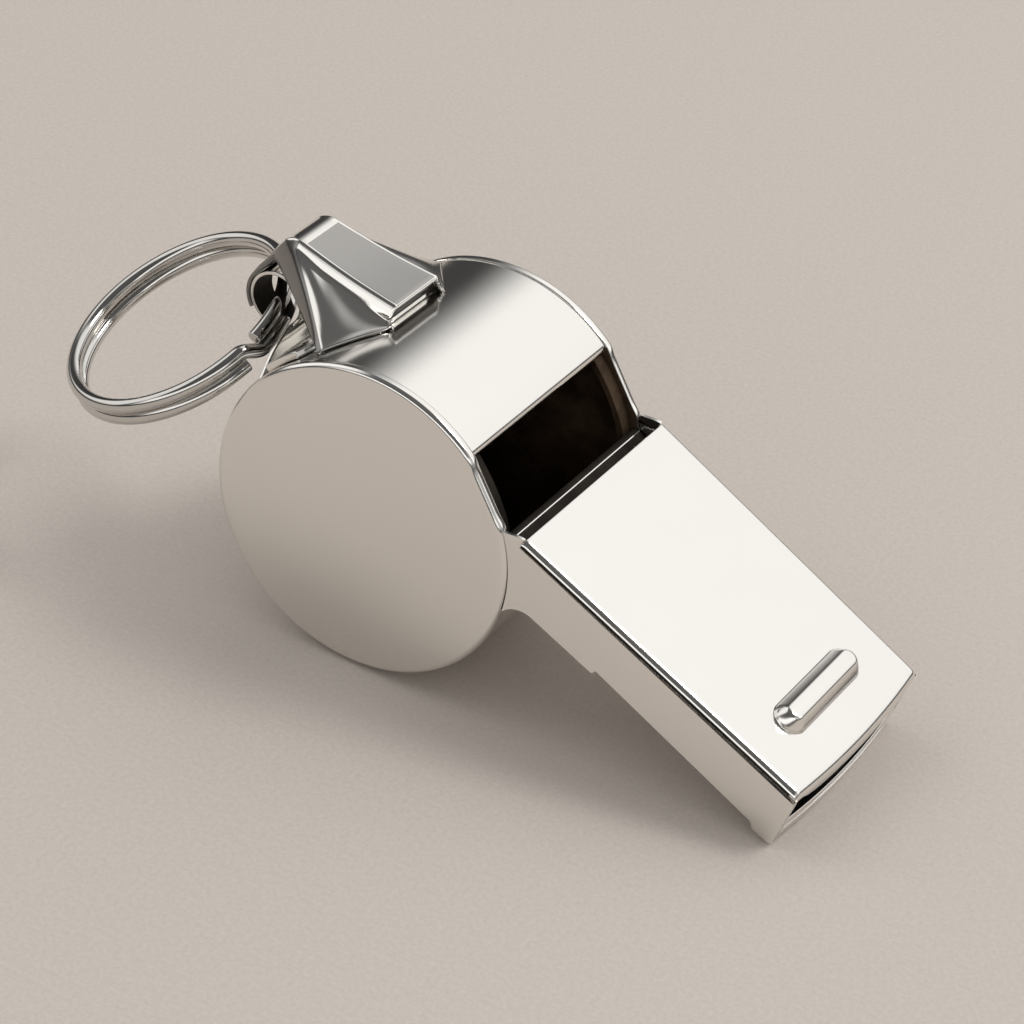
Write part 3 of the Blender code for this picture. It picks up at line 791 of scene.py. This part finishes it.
def build_tooth_ridge():
    """The wedge under the lower lip, between the cheeks' feet."""
    lines = Lines()
    low = lines.bottom_z(lines.tip_x) - FOOT_DROP
    back = lines.tip_x - FOOT_SETBACK + FOOT_DROP
    bend, lip = bottom_line(lines)[1:]
    slope = (lip.y - bend.y) / (lip.x - bend.x)
    drop = (lines.sheet / 2 + 0.02 * MM) * math.hypot(1, slope)
    half = lines.inner_half_width(back)
    sections = []
    for v in EIGHTHS:
        front = lines.front_x(low) + FRONT_BULGE * (1 - v * v) - 0.1 * MM
        top_front = bend.y + slope * (front - bend.x) - drop
        top_back = bend.y + slope * (back - bend.x) - drop
        outline = [(back, low), (front, low), (front - 0.05 * MM, top_front), (back, top_back)]
        sections.append([Vector((x, v * half, z)) for x, z in outline])
    made = piece("lower_tooth_ridge_fine", loft(sections), ("plate_nickel",))
    soften(made, 0.12 * MM)
    return made


WINDWAY_FRONT_SETBACK = 2.2 * MM
WINDWAY_REACH = 1.2 * MM
WINDWAY_SLOT = 1.0 * MM
BRINK_LENGTH = 0.3 * MM
BRINK_SHINE = 0.08 * MM


def build_windway_floor():
    """The plate under the air's way, painted dark as shade but for a nickel strip at its brink, and the
    chamber's front wall below it.
    """
    lines = Lines()
    front_x = lines.tip_x - WINDWAY_FRONT_SETBACK
    front_z = lines.bottom_z(front_x) + BOTTOM_RECESS + lines.sheet * 1.5 + SEAM * 0.5
    rear_x = lines.back_x - WINDWAY_REACH
    rear = Vector((rear_x, lines.top_z(rear_x) - lines.sheet - WINDWAY_SLOT - lines.sheet / 2))
    wall = lines.radius - lines.sheet / 2
    clear = THROAT_RADIUS + lines.sheet + SEAM * 0.5
    low = lines.throat_angle - lines.round_throat(lines.radius, clear)
    down = arc(AXIS, wall, math.atan2(rear.x, rear.y) + math.radians(3), low)
    brink = rear + Vector((BRINK_LENGTH, -0.02 * MM))
    shine = brink - Vector((BRINK_SHINE, 0))
    path = [Vector((front_x, front_z)), brink, shine, *bezier(shine, rear, rear, down[0], 8), *down[1:]]
    grid = []
    for point in path:
        half = min(lines.barrel_half_width(), lines.inner_half_width(point.x))
        grid.append([Vector((point.x, v * half, point.y)) for v in (-1, 0, 1)])
    bm = grid_mesh(grid)
    bm.faces.ensure_lookup_table()
    for face in bm.faces[2:4]:
        face.material_index = 1
    # The floor and the wall are painted shade; the brink's strip is nickel
    finishes = ("painted_shade_dark", "plate_nickel")
    return sheet_piece("windway_floor_fine", bm, finishes, lines.sheet, edge=0.1 * MM)


GRIP_SETBACK = 4.35 * MM
GRIP_LENGTH = 10.7 * MM
GRIP_WIDTH = 2.55 * MM

# The grip's foot, slope and brow as (way out from its width, height), in millimetres

GRIP_FOOT = ((0.16, -0.02), (0.07, 0.015), (0.02, 0.07), (0.0, 0.16))
GRIP_SLOPE = ((-0.06, 0.34), (-0.46, 0.84))
GRIP_BROW = ((-0.53, 0.93), (-0.61, 1.0), (-0.7, 1.05), (-0.82, 1.085), (-0.96, 1.1))


def build_tooth_grip():
    """The pressed bar: round ends, sloping sides, a flat top and a small fillet at its foot."""
    lines = Lines()
    middle = lines.tip_x - GRIP_SETBACK
    straight = GRIP_LENGTH / 2 - GRIP_WIDTH / 2
    sections = []
    for grow, height in (*GRIP_FOOT, *GRIP_SLOPE, *GRIP_BROW):
        radius = GRIP_WIDTH / 2 + grow * MM
        section = []
        for end in (1, -1):
            for i in range(25):
                turn = math.pi * i / 24
                x = middle + end * radius * math.cos(turn)
                y = end * (straight + radius * math.sin(turn))
                section.append(Vector((x, y, lines.top_z(x) + height * MM)))
        sections.append(section)
    made = piece("upper_tooth_grip_fine", loft(sections), ("plate_nickel",))
    made.data.set_sharp_from_angle(angle=math.radians(50))
    return made


class WHISTLE_OT_mouthpiece(bpy.types.Operator):
    """Build the mouthpiece's plates, cheeks, windway and tooth grips"""

    bl_idname = "whistle.mouthpiece"
    bl_label = "Mouthpiece"

    def execute(self, context):
        pieces = {
            "left_cheek": build_cheek("left_cheek", 1),
            "right_cheek": build_cheek("right_cheek", -1),
            "mouth_top_plate": build_top_plate(),
            "mouth_bottom_plate": build_bottom_plate(),
            "lower_tooth_ridge": build_tooth_ridge(),
            "windway_floor": build_windway_floor(),
            "upper_tooth_grip": build_tooth_grip(),
        }
        for name, made in pieces.items():
            settle(made, "whistle", name)
        return {"FINISHED"}


# Lug


SADDLE_GAP = 0.04 * MM
SADDLE_ROWS = 48


def build_saddle():
    """The curved plate on the barrel under the hood."""
    lines = Lines()
    radius = lines.radius + SADDLE_GAP + lines.sheet / 2
    grid = []
    for i in range(SADDLE_ROWS + 1):
        t = i / SADDLE_ROWS
        point = on_circle(radius, between(SADDLE_FRONT_ANGLE, SADDLE_BACK_ANGLE, t))
        place = t * (len(SADDLE_SHARES) - 1)
        k = min(len(SADDLE_SHARES) - 2, int(place))
        half = GUSSET_BASE_HALF_WIDTH * between(SADDLE_SHARES[k], SADDLE_SHARES[k + 1], place - k)
        grid.append([Vector((point.x, half * v / 4, point.y)) for v in range(-4, 5)])
    bm = grid_mesh(grid)
    return sheet_piece("lug_saddle_fine", bm, ("lug_nickel_finish",), lines.sheet, edge=0.15 * MM)


# The hood's bright nickel, then its painted shades: the darker panel, the near-black toe and the dark folds
HOOD_FINISHES = ("lug_nickel_finish", "hood_panel_painted_shade", "painted_shade_dark", "fold_painted_shade")
HOOD_TOP_ROWS = 25
HOOD_BACK_ROWS = 12
HOOD_APRON_ROWS = 5
HOOD_ARM_POINTS = 12
GUSSET_ROWS = HOOD_TOP_ROWS + 17
GUSSET_STEPS = 11
HOOD_FRONT_HALF = 2.85 * MM
RIDGE_HALF = 2.3 * MM
HOOD_BACK_HALF = 2.2 * MM
HOOD_SAG = 0.16 * MM
HOOD_LIP = 0.85 * MM
RIDGE_LIP = 0.6 * MM
BACK_LIP = 0.45 * MM
HOOD_LIP_SPREAD = 0.45 * MM
HOOD_BACK_EASE = 1.7 * MM
HOOD_WRAP_GAP = 0.33 * MM
HOOD_WRAP_ANGLE = math.radians(-84)
HOOD_WRAP_TURN = math.radians(64)
GUSSET_BACK_TURN = math.radians(2.2)
APRON_REACH = 0.3 * MM
APRON_GAP = 0.1 * MM
APRON_FULL_STEP = 1.2 * MM
GUSSET_GAP = 0.34 * MM
GUSSET_INWARD = Vector((0, -0.8, -0.6))
PANEL_PLACES = 4
CREASE_PLACE = 8

# The side lip's bead as (way in from the panel's edge, depth), then its crease as (way out, depth)

HOOD_BEAD = (
    (0.3 * MM, -0.02 * MM), (0.2 * MM, -0.06 * MM), (0.1 * MM, -0.05 * MM), (0.02 * MM, 0.03 * MM)
)
HOOD_CREASE = (0.05 * MM, 0.13 * MM)

# The brow over the front step as (way ahead, way down) where the step is full

APRON_BROW = ((0.17 * MM, 0.2 * MM), (0.13 * MM, 0.07 * MM), (0.07 * MM, 0.0))


def hood_line(lines):
    """The hood's outer middle line: top panel, ridge, back wall and the wrap round the eye.

    Each entry holds the point, its inward normal, the half width and the side lips' depth."""
    along = Vector((-math.cos(HOOD_SLOPE), -math.sin(HOOD_SLOPE)))
    inward = Vector((math.sin(HOOD_SLOPE), -math.cos(HOOD_SLOPE)))
    front = on_circle(lines.radius + 2 * SEAM + lines.sheet * 1.5, HOOD_FRONT_ANGLE)
    run = (front.x - HOOD_RIDGE_X) / math.cos(HOOD_SLOPE)
    front -= inward * lines.sheet / 2
    line = []
    for i in range(HOOD_TOP_ROWS):
        share = i / (HOOD_TOP_ROWS - 1)
        point = front + along * run * share + inward * HOOD_SAG * math.sin(math.pi * share)
        depth = between(HOOD_LIP, RIDGE_LIP, smooth((share - 0.7) / 0.3))
        line.append((point, inward, between(HOOD_FRONT_HALF, RIDGE_HALF, share), depth))
    radius = HOOD_RIDGE_RADIUS + lines.sheet / 2
    centre = line[-1][0] + inward * radius
    end = -math.pi / 2 + HOOD_BACK_LEAN
    ridge = arc(centre, radius, math.atan2(-inward.x, -inward.y), end, math.radians(5))[1:]
    for i, point in enumerate(ridge):
        share = (i + 1) / len(ridge)
        half = between(RIDGE_HALF, HOOD_BACK_HALF, share)
        line.append((point, (centre - point).normalized(), half, between(RIDGE_LIP, BACK_LIP, share)))
    last, inward = line[-1][:2]
    eye = Vector((EYE_X, EYE_Z))
    wrap = EYE_BORE + STRAP_THICKNESS + HOOD_WRAP_GAP
    arrive = eye + on_circle(wrap, HOOD_WRAP_ANGLE)
    start = last + Vector((inward.y, -inward.x)) * HOOD_BACK_EASE
    tangent = Vector((-math.cos(HOOD_WRAP_ANGLE), math.sin(HOOD_WRAP_ANGLE)))
    wall = bezier(last, start, arrive - tangent * HOOD_BACK_EASE, arrive, HOOD_BACK_ROWS)
    wrap_end = HOOD_WRAP_ANGLE - HOOD_WRAP_TURN
    wall += arc(eye, wrap, HOOD_WRAP_ANGLE, wrap_end, math.radians(4))[1:]
    before = last
    for i, point in enumerate(wall):
        share = min(1, (i + 1) / HOOD_BACK_ROWS)
        step = (point - before).normalized()
        half = between(HOOD_BACK_HALF, EYE_HALF, smooth(share))
        depth = BACK_LIP * max(0, 1 - share * 1.4)
        line.append((point, Vector((-step.y, step.x)), half, depth))
        before = point
    return line


def hood_arm(point, inward, half, depth):
    """One row's outer points from the middle to below the side lip: panel, bead, crease and slope."""
    bead = min(1, depth / HOOD_LIP)
    crease = half + HOOD_CREASE[0] * bead
    crease_depth = HOOD_CREASE[1] * bead
    steps = [(0, 0), (half * 0.35, 0), (half * 0.7, 0), (half - 0.42 * MM, 0)]
    steps += [(half - setback, bead_depth * bead) for setback, bead_depth in HOOD_BEAD]
    steps.append((crease, crease_depth))
    for share in (0.3, 0.65, 1.0):
        across = crease + HOOD_LIP_SPREAD * share * bead
        steps.append((across, between(crease_depth, depth, share)))
    arm = []
    for k, (across, deep) in enumerate(steps):
        across = between(across, half * k / (len(steps) - 1), smooth(1 - 2 * bead))
        arm.append(Vector((point.x + inward.x * deep, across, point.y + inward.y * deep)))
    return arm


def hood_apron(point, radius):
    """Points from the barrel's surface up to this front point: a steep step under a rounded brow."""
    x = point.x + APRON_REACH
    toe = Vector((x, point.y, math.sqrt(radius**2 - x * x)))
    scale = min(1, (math.hypot(point.x, point.z) - radius) / APRON_FULL_STEP)
    brow = [point + Vector((ahead, 0, -down)) * scale for ahead, down in APRON_BROW]
    return [toe, brow[0].lerp(toe, 0.5), *brow]


def gusset_points(lines, lip, front_angle, row):
    """A row's points from under the side lip down the hollow gusset to its flange on the saddle."""
    share = min(1, row / (HOOD_TOP_ROWS - 1))
    past = max(0, (row - HOOD_TOP_ROWS + 1) / (GUSSET_ROWS - HOOD_TOP_ROWS))
    turn = between(front_angle, GUSSET_BASE_ANGLE, share) - GUSSET_BACK_TURN * past
    foot = on_circle(lines.radius + GUSSET_GAP, turn)
    low = Vector((foot.x, between(lip.y + 0.08 * MM, GUSSET_BASE_HALF_WIDTH, share), foot.y))
    # The swell is 1 at its fullest, three quarters of the way along the panel
    swell = 9.48 * share**3 * (1 - share)
    depth = (0.25 + 0.15 * share - 0.42 * swell + 0.2 * past) * MM
    points = []
    for step in range(1, GUSSET_STEPS + 1):
        t = step / GUSSET_STEPS
        points.append(lip.lerp(low, t) + GUSSET_INWARD * depth * 4 * t * (1 - t) * min(1, 0.3 + share))
    flange = Vector((0, between(0.06, 0.3, smooth(share * 4)), -0.1 * share)) * MM
    return [*points, low + flange]


def hood_sheet_share(row, place):
    """The sheet's thickness there, as a share: thinner at the front, the back and the gusset's foot."""
    back = 1 - 0.55 * smooth((row - HOOD_APRON_ROWS - GUSSET_ROWS) / 8)
    front = between(0.25, 1, smooth((row - HOOD_APRON_ROWS) / 3))
    return back * front * (1 - 0.6 * smooth((place - HOOD_ARM_POINTS + 1) / GUSSET_STEPS))


def hood_finish(row, place):
    """The finish of a hood face, by its row from the toe and its place from the middle. The toe, the step
    under the brow, the panel and the folds behind the ridge get painted shade.
    """
    past_apron = row - HOOD_APRON_ROWS
    # Painted shade: the toe on the barrel is near black, as contact shadow
    if row == 0 and place < HOOD_ARM_POINTS + 4:
        return "painted_shade_dark"
    # Painted shade: the step wall under the brow is dark
    if row == 1 and place < HOOD_ARM_POINTS:
        return "fold_painted_shade"
    # Painted shade: the panel's middle gets the darker nickel
    if place < PANEL_PLACES and 0 <= past_apron < HOOD_TOP_ROWS - 2:
        return "hood_panel_painted_shade"
    # Painted shade: the folds behind the ridge are dark
    if place >= CREASE_PLACE and past_apron >= HOOD_TOP_ROWS - (place >= HOOD_ARM_POINTS):
        return "fold_painted_shade"
    return "lug_nickel_finish"


def hood_rows(lines):
    """Half of the hood's outer surface, as rows of points from its toe on the barrel to the eye."""
    line = hood_line(lines)
    front_angle = math.atan2(line[0][0].x, line[0][0].y)
    grid = []
    for row, entry in enumerate(line):
        arm = hood_arm(*entry)
        if row < GUSSET_ROWS:
            arm += gusset_points(lines, arm[-1], front_angle, row)
        grid.append(arm)
    apron = [hood_apron(point, lines.radius + APRON_GAP) for point in grid[0]]
    return [*zip(*apron), *grid]


def build_hood():
    """The raised hood: a panel with sloping side lips, a back wall and a hollow gusset on each side."""
    lines = Lines()
    grid = hood_rows(lines)
    bm = bmesh.new()
    thickness = bm.verts.layers.deform.new()
    for side in (1, -1):
        rows = []
        for row, arm in enumerate(grid):
            rows.append([bm.verts.new((p.x, side * p.y, p.z)) for p in arm])
            for place, vert in enumerate(rows[-1]):
                vert[thickness][0] = hood_sheet_share(row, place)
        for row, (near, far) in enumerate(zip(rows, rows[1:])):
            for k in range(min(len(near), len(far)) - 1):
                corners = (near[k], near[k + 1], far[k + 1], far[k])
                face = bm.faces.new(corners if side > 0 else corners[::-1])
                face.material_index = HOOD_FINISHES.index(hood_finish(row, k))
    bmesh.ops.remove_doubles(bm, verts=bm.verts, dist=1e-7)
    made = piece("lug_hood_fine", bm, HOOD_FINISHES)
    made.vertex_groups.new(name="thickness")
    upper = max(made.data.polygons, key=lambda face: face.center.z)
    wall = thicken(made, lines.sheet)
    wall.offset = -1 if upper.normal.z > 0 else 1
    wall.use_even_offset = False
    wall.vertex_group = "thickness"
    made.data.set_sharp_from_angle(angle=math.radians(50))
    return made


STRAP_FOOT_HALF = 7.6 * MM
STRAP_LEG_ROWS = 20
CURL_START = math.radians(104)


def build_eye_strap():
    """The strap: a wide foot on the barrel's back, a tapering leg and a curl round the eye."""
    lines = Lines()
    foot = lines.radius + SADDLE_GAP + STRAP_THICKNESS / 2
    path = arc(AXIS, foot, STRAP_FOOT_BOTTOM_ANGLE, STRAP_FOOT_TOP_ANGLE)
    widths = [STRAP_FOOT_HALF] * len(path)
    eye = Vector((EYE_X, EYE_Z))
    curl = EYE_BORE + STRAP_THICKNESS / 2
    arrive = eye + on_circle(curl, CURL_START)
    rise = Vector((math.cos(STRAP_FOOT_TOP_ANGLE), -math.sin(STRAP_FOOT_TOP_ANGLE)))
    up = Vector((-math.cos(CURL_START), math.sin(CURL_START)))
    path += bezier(path[-1], path[-1] + rise * 1.2 * MM, arrive - up * 1.6 * MM, arrive, STRAP_LEG_ROWS)
    leg = range(1, STRAP_LEG_ROWS + 1)
    widths += [between(STRAP_FOOT_HALF, EYE_HALF, i / STRAP_LEG_ROWS) for i in leg]
    round_eye = arc(eye, curl, CURL_START, CURL_START - EYE_CURL, math.radians(4))[1:]
    path += round_eye
    widths += [EYE_HALF] * len(round_eye)
    grid = [[Vector((p.x, half * v / 2, p.y)) for v in range(-2, 3)] for p, half in zip(path, widths)]
    finishes = ("lug_nickel_finish", "painted_shade_dark")
    return sheet_piece("lug_eye_strap_fine", grid_mesh(grid), finishes, STRAP_THICKNESS, edge=0.12 * MM)


class WHISTLE_OT_lug(bpy.types.Operator):
    """Build the lug: saddle, hood and eye strap"""

    bl_idname = "whistle.lug"
    bl_label = "Lug"

    def execute(self, context):
        settle(build_saddle(), "whistle", "lug_saddle")
        settle(build_hood(), "whistle", "lug_hood")
        strap = settle(build_eye_strap(), "whistle", "lug_eye_strap")
        # Painted shade: the faces inside the eye's bore are dark
        paint_shade_on_inward_faces(strap, REST @ Vector((EYE_X, 0, EYE_Z)), EYE_BORE + 0.1 * MM, 0.5)
        return {"FINISHED"}


# Split ring


# The ring's middle as seen from the eye's, and the way that the ring's axis points

RING_CENTRE = Vector((-4.59 * MM, -2.85 * MM, -7.2 * MM))
RING_NORMAL = Vector((-0.724, -0.344, 0.598)).normalized()
RING_JOG_PLACE = math.radians(160)
RING_JOG_SPREAD = math.radians(12.5)
RING_END_SETBACK = math.radians(4.6)
RING_POINTS = 520
WIRE_SIDES = 32


def math_node(tree, operation, *values):
    """A math node's result. Each value is another node's output or a number."""
    made = node(tree, "ShaderNodeMath", operation=operation)
    for socket, value in zip(made.inputs, values):
        if isinstance(value, bpy.types.NodeSocket):
            tree.links.new(value, socket)
        else:
            socket.default_value = value
    return made.outputs["Value"]


def split_ring_tree():
    """Geometry nodes: a wire swept along two turns that change places at a jog."""
    tree = bpy.data.node_groups.new("split_ring_wire", "GeometryNodeTree")
    sockets = (
        ("Geometry", "NodeSocketGeometry"),
        ("Ring Radius", "NodeSocketFloat"),
        ("Wire Radius", "NodeSocketFloat"),
        ("Wire Spacing", "NodeSocketFloat"),
        ("Points", "NodeSocketInt"),
        ("Wire Finish", "NodeSocketMaterial"),
    )
    for name, kind in sockets:
        tree.interface.new_socket(name, in_out="INPUT", socket_type=kind)
    tree.interface.new_socket("Geometry", in_out="OUTPUT", socket_type="NodeSocketGeometry")
    source = node(tree, "NodeGroupInput").outputs
    row = node(tree, "GeometryNodeMeshLine", Count=source["Points"])
    index = node(tree, "GeometryNodeInputIndex").outputs["Index"]
    share = math_node(tree, "DIVIDE", index, math_node(tree, "SUBTRACT", source["Points"], 1.0))
    run = 2 * math.tau - 2 * RING_END_SETBACK
    angle = math_node(tree, "MULTIPLY_ADD", share, run, RING_END_SETBACK)
    turn = math_node(tree, "ADD", angle, RING_JOG_PLACE)
    jog_start = 0.5 - math.tau / RING_JOG_SPREAD
    jog = math_node(tree, "MULTIPLY_ADD", angle, 1 / RING_JOG_SPREAD, jog_start)
    step = node(
        tree, "ShaderNodeMapRange", interpolation_type="SMOOTHSTEP", Value=jog, To_Min=0.5, To_Max=-0.5
    )
    place = node(
        tree, "ShaderNodeCombineXYZ",
        X=math_node(tree, "MULTIPLY", math_node(tree, "COSINE", turn), source["Ring Radius"]),
        Y=math_node(tree, "MULTIPLY", math_node(tree, "SINE", turn), source["Ring Radius"]),
        Z=math_node(tree, "MULTIPLY", step.outputs["Result"], source["Wire Spacing"]),
    )
    move = node(
        tree, "GeometryNodeSetPosition", Geometry=row.outputs["Mesh"], Position=place.outputs["Vector"]
    )
    path = node(tree, "GeometryNodeMeshToCurve", Mesh=move.outputs["Geometry"])
    section = node(
        tree, "GeometryNodeCurvePrimitiveCircle", Resolution=WIRE_SIDES, Radius=source["Wire Radius"]
    )
    wire = node(
        tree, "GeometryNodeCurveToMesh", Curve=path.outputs["Curve"],
        Profile_Curve=section.outputs["Curve"], Fill_Caps=True,
    )
    real = node(tree, "GeometryNodeRealizeInstances", Geometry=wire.outputs["Mesh"])
    paint = node(
        tree, "GeometryNodeSetMaterial", Geometry=real.outputs["Geometry"],
        Material=source["Wire Finish"],
    )
    node(tree, "NodeGroupOutput", Geometry=paint.outputs["Geometry"])
    return tree


def grow_by_nodes(name, tree, values):
    """A plain mesh object from a geometry-nodes tree and its inputs' values."""
    made = add_object(name, bpy.data.meshes.new(name))
    modifier = made.modifiers.new(name, "NODES")
    modifier.node_group = tree
    for item in tree.interface.items_tree:
        if item.in_out == "INPUT" and item.name in values:
            modifier[item.identifier] = values[item.name]
    make_real(made)
    return made


class WHISTLE_OT_split_ring(bpy.types.Operator):
    """Build the split ring of two turns of wire"""

    bl_idname = "whistle.split_ring"
    bl_label = "Split ring"

    def execute(self, context):
        sizes = context.scene.whistle_sizes
        values = {
            "Ring Radius": sizes.ring_radius,
            "Wire Radius": sizes.wire_radius,
            "Wire Spacing": sizes.wire_spacing,
            "Points": RING_POINTS,
            "Wire Finish": finish_named("wire_nickel"),
        }
        made = grow_by_nodes("split_ring_fine", split_ring_tree(), values)
        across = RING_NORMAL.cross(Vector((0, 1, 0))).normalized()
        along = RING_NORMAL.cross(across)
        facing = Matrix((across, along, RING_NORMAL)).transposed().to_4x4()
        centre = Vector((EYE_X, 0, EYE_Z)) + RING_CENTRE
        bm = bmesh.new()
        bm.from_mesh(made.data)
        bmesh.ops.transform(bm, matrix=REST @ Matrix.Translation(centre) @ facing, verts=bm.verts)
        bmesh.ops.recalc_face_normals(bm, faces=bm.faces)
        bm.to_mesh(made.data)
        bm.free()
        made.data.shade_smooth()
        made.data.set_sharp_from_angle(angle=math.radians(50))
        soften(made, 0.12 * MM, angle=math.radians(60))
        settle(made, "ring", "split_ring")
        return {"FINISHED"}


CORK_DENTS = 900
CORK_DENT_DEPTH = 0.006


class WHISTLE_OT_pea(bpy.types.Operator):
    """Build the cork ball in the barrel"""

    bl_idname = "whistle.pea"
    bl_label = "Pea"

    def execute(self, context):
        low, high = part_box("cork_pea")
        bm = bmesh.new()
        bmesh.ops.create_icosphere(bm, subdivisions=5, radius=context.scene.whistle_sizes.pea_radius)
        for vertex in bm.verts:
            p = vertex.co * CORK_DENTS
            dent = math.sin(p.x * 1.3 + 2 * math.sin(p.y)) * math.sin(p.y * 1.1 + p.z) * math.sin(p.z * 1.7)
            vertex.co *= 1 - CORK_DENT_DEPTH * max(0, dent)
        bmesh.ops.translate(bm, vec=(Vector(low) + Vector(high)) / 2, verts=bm.verts)
        made = piece("cork_pea_fine", bm, ("cork_grains",), turn=False)
        settle(made, "pea", "cork_pea")
        return {"FINISHED"}


# Stage, lamp and camera


LAMP_DIRECTION = Vector((0.55, 0.35, 0.95))
LAMP_DISTANCE = 0.8
LAMP_SIZE = 0.24
LAMP_AIM = Vector((0, 0, 12 * MM))


def key_lamp():
    """A soft lamp high above, on the mouthpiece's side and a little behind, facing the whistle."""
    lamp = bpy.data.lights.new("key_lamp", "AREA")
    lamp.size = LAMP_SIZE
    lamp.energy = 1.7
    lamp.color = (1.0, 0.985, 0.965)
    made = add_object("key_lamp", lamp)
    place = LAMP_DIRECTION.normalized() * LAMP_DISTANCE
    made.location = place + LAMP_AIM
    made.rotation_mode = "QUATERNION"
    made.rotation_quaternion = place.to_track_quat("Z", "Y")


def step_up(tree, value, low, high):
    """A soft step from 0 to 1 while the value runs from low to high. It falls where low is above high."""
    rising = low < high
    return node(
        tree, "ShaderNodeMapRange", interpolation_type="SMOOTHSTEP", Value=value,
        From_Min=min(low, high), From_Max=max(low, high), To_Min=float(not rising), To_Max=float(rising),
    ).outputs["Result"]


def light_panel(tree, axes, edges):
    """How much of a soft-edged panel lies in this direction: one (axis, dark, bright) for each edge."""
    share = None
    for axis, dark, bright in edges:
        edge = step_up(tree, axes[axis], dark, bright)
        share = edge if share is None else math_node(tree, "MULTIPLY", share, edge)
    return share


PANEL_BEHIND = (("X", -0.58, -0.14), ("Y", 0.2, 0.45), ("Z", 0.14, 0.3))

# The brightness and the edges of the panels at the left, in front and at the right

PANELS = (
    (0.95, (("X", -0.42, -0.6), ("Y", 0.36, 0.2), ("Y", -0.6, -0.4), ("Z", 0.1, 0.25))),
    (1.2, (("Y", -0.4, -0.6), ("Z", 0.14, 0.24), ("Z", 0.54, 0.44), ("X", -0.8, -0.5))),
    (0.45, (("X", 0.62, 0.8), ("Z", 0.12, 0.3))),
)
BRIGHTEST = 1.3


def studio_world():
    """A dim studio with large soft panels behind, at the left, in front and at the right.

    Mirror rays see a dimmer sky and a brighter panel behind than the table does."""
    world = bpy.data.worlds.new("studio")
    world.use_nodes = True
    tree = world.node_tree
    place = node(tree, "ShaderNodeTexCoord").outputs["Generated"]
    axes = node(tree, "ShaderNodeSeparateXYZ", Vector=place).outputs
    mirrored = node(tree, "ShaderNodeLightPath").outputs["Is Glossy Ray"]
    sky = math_node(tree, "MULTIPLY_ADD", mirrored, -0.48, 0.54)
    total = math_node(tree, "MULTIPLY_ADD", step_up(tree, axes["Z"], 0.2, 1.0), sky, 0.05)
    behind = math_node(tree, "MULTIPLY_ADD", mirrored, 0.17, 0.8)
    total = math_node(tree, "MULTIPLY_ADD", light_panel(tree, axes, PANEL_BEHIND), behind, total)
    for level, edges in PANELS:
        total = math_node(tree, "MULTIPLY_ADD", light_panel(tree, axes, edges), level, total)
    back = tree.nodes["Background"]
    back.inputs["Color"].default_value = (1.0, 0.987, 0.97, 1)
    tree.links.new(math_node(tree, "MINIMUM", total, BRIGHTEST), back.inputs["Strength"])
    bpy.context.scene.world = world


TABLE_HALF = 1.5
TABLE_DROP = 0.02 * MM
CAMERA_PLACE = Vector((0.03720389, -0.20707529, 0.19606498))
CAMERA_RIGHT = Vector((0.72170987, 0.52645623, 0.4494204))
CAMERA_UP = Vector((-0.68410486, 0.44350752, 0.57905234))
CAMERA_BACK = Vector((0.10552439, -0.72535847, 0.68023503))


def photo_camera():
    """The camera. Its place and axes are measured with the whistle level, as the meshes are."""
    camera = bpy.data.cameras.new("photo_camera")
    camera.lens = 134.34
    camera.sensor_width = 36.0
    camera.clip_start = 0.01
    camera.clip_end = 10.0
    made = add_object("photo_camera", camera)
    stand = Matrix((CAMERA_RIGHT, CAMERA_UP, CAMERA_BACK)).transposed().to_4x4()
    stand.translation = CAMERA_PLACE
    made.matrix_world = REST @ stand
    bpy.context.scene.camera = made


class WHISTLE_OT_stage(bpy.types.Operator):
    """Set the table, the lamp, the world and the camera"""

    bl_idname = "whistle.stage"
    bl_label = "Stage"

    def execute(self, context):
        bm = bmesh.new()
        bmesh.ops.create_grid(bm, x_segments=2, y_segments=2, size=TABLE_HALF)
        bmesh.ops.translate(bm, vec=(0, 0, -TABLE_DROP), verts=bm.verts)
        table = piece("table", bm, ("table_paper",), turn=False)
        studio_world()
        key_lamp()
        photo_camera()
        context.scene.view_settings.view_transform = "Standard"
        return {"FINISHED"}


class WHISTLE_PT_panel(bpy.types.Panel):
    """The whistle's sizes, colours and pieces"""

    bl_idname = "WHISTLE_PT_panel"
    bl_label = "Whistle"
    bl_space_type = "VIEW_3D"
    bl_region_type = "UI"
    bl_category = "Whistle"

    def draw(self, context):
        scene = context.scene
        for group in (scene.whistle_sizes, scene.whistle_colours):
            for name in group.__annotations__:
                self.layout.prop(group, name)
        for operator in OPERATORS:
            self.layout.operator(operator.bl_idname)


OPERATORS = (
    WHISTLE_OT_barrel,
    WHISTLE_OT_mouthpiece,
    WHISTLE_OT_lug,
    WHISTLE_OT_split_ring,
    WHISTLE_OT_pea,
    WHISTLE_OT_stage,
)
CLASSES = (WhistleSizes, WhistleColours, *OPERATORS, WHISTLE_PT_panel)


def register():
    for each in CLASSES:
        bpy.utils.register_class(each)
    bpy.types.Scene.whistle_sizes = bpy.props.PointerProperty(type=WhistleSizes)
    bpy.types.Scene.whistle_colours = bpy.props.PointerProperty(type=WhistleColours)


def unregister():
    del bpy.types.Scene.whistle_colours
    del bpy.types.Scene.whistle_sizes
    for each in reversed(CLASSES):
        bpy.utils.unregister_class(each)


def main():
    register()
    bpy.ops.whistle.barrel()
    bpy.ops.whistle.mouthpiece()
    bpy.ops.whistle.lug()
    bpy.ops.whistle.split_ring()
    bpy.ops.whistle.pea()
    bpy.ops.whistle.stage()


if __name__ == "__main__":
    main()
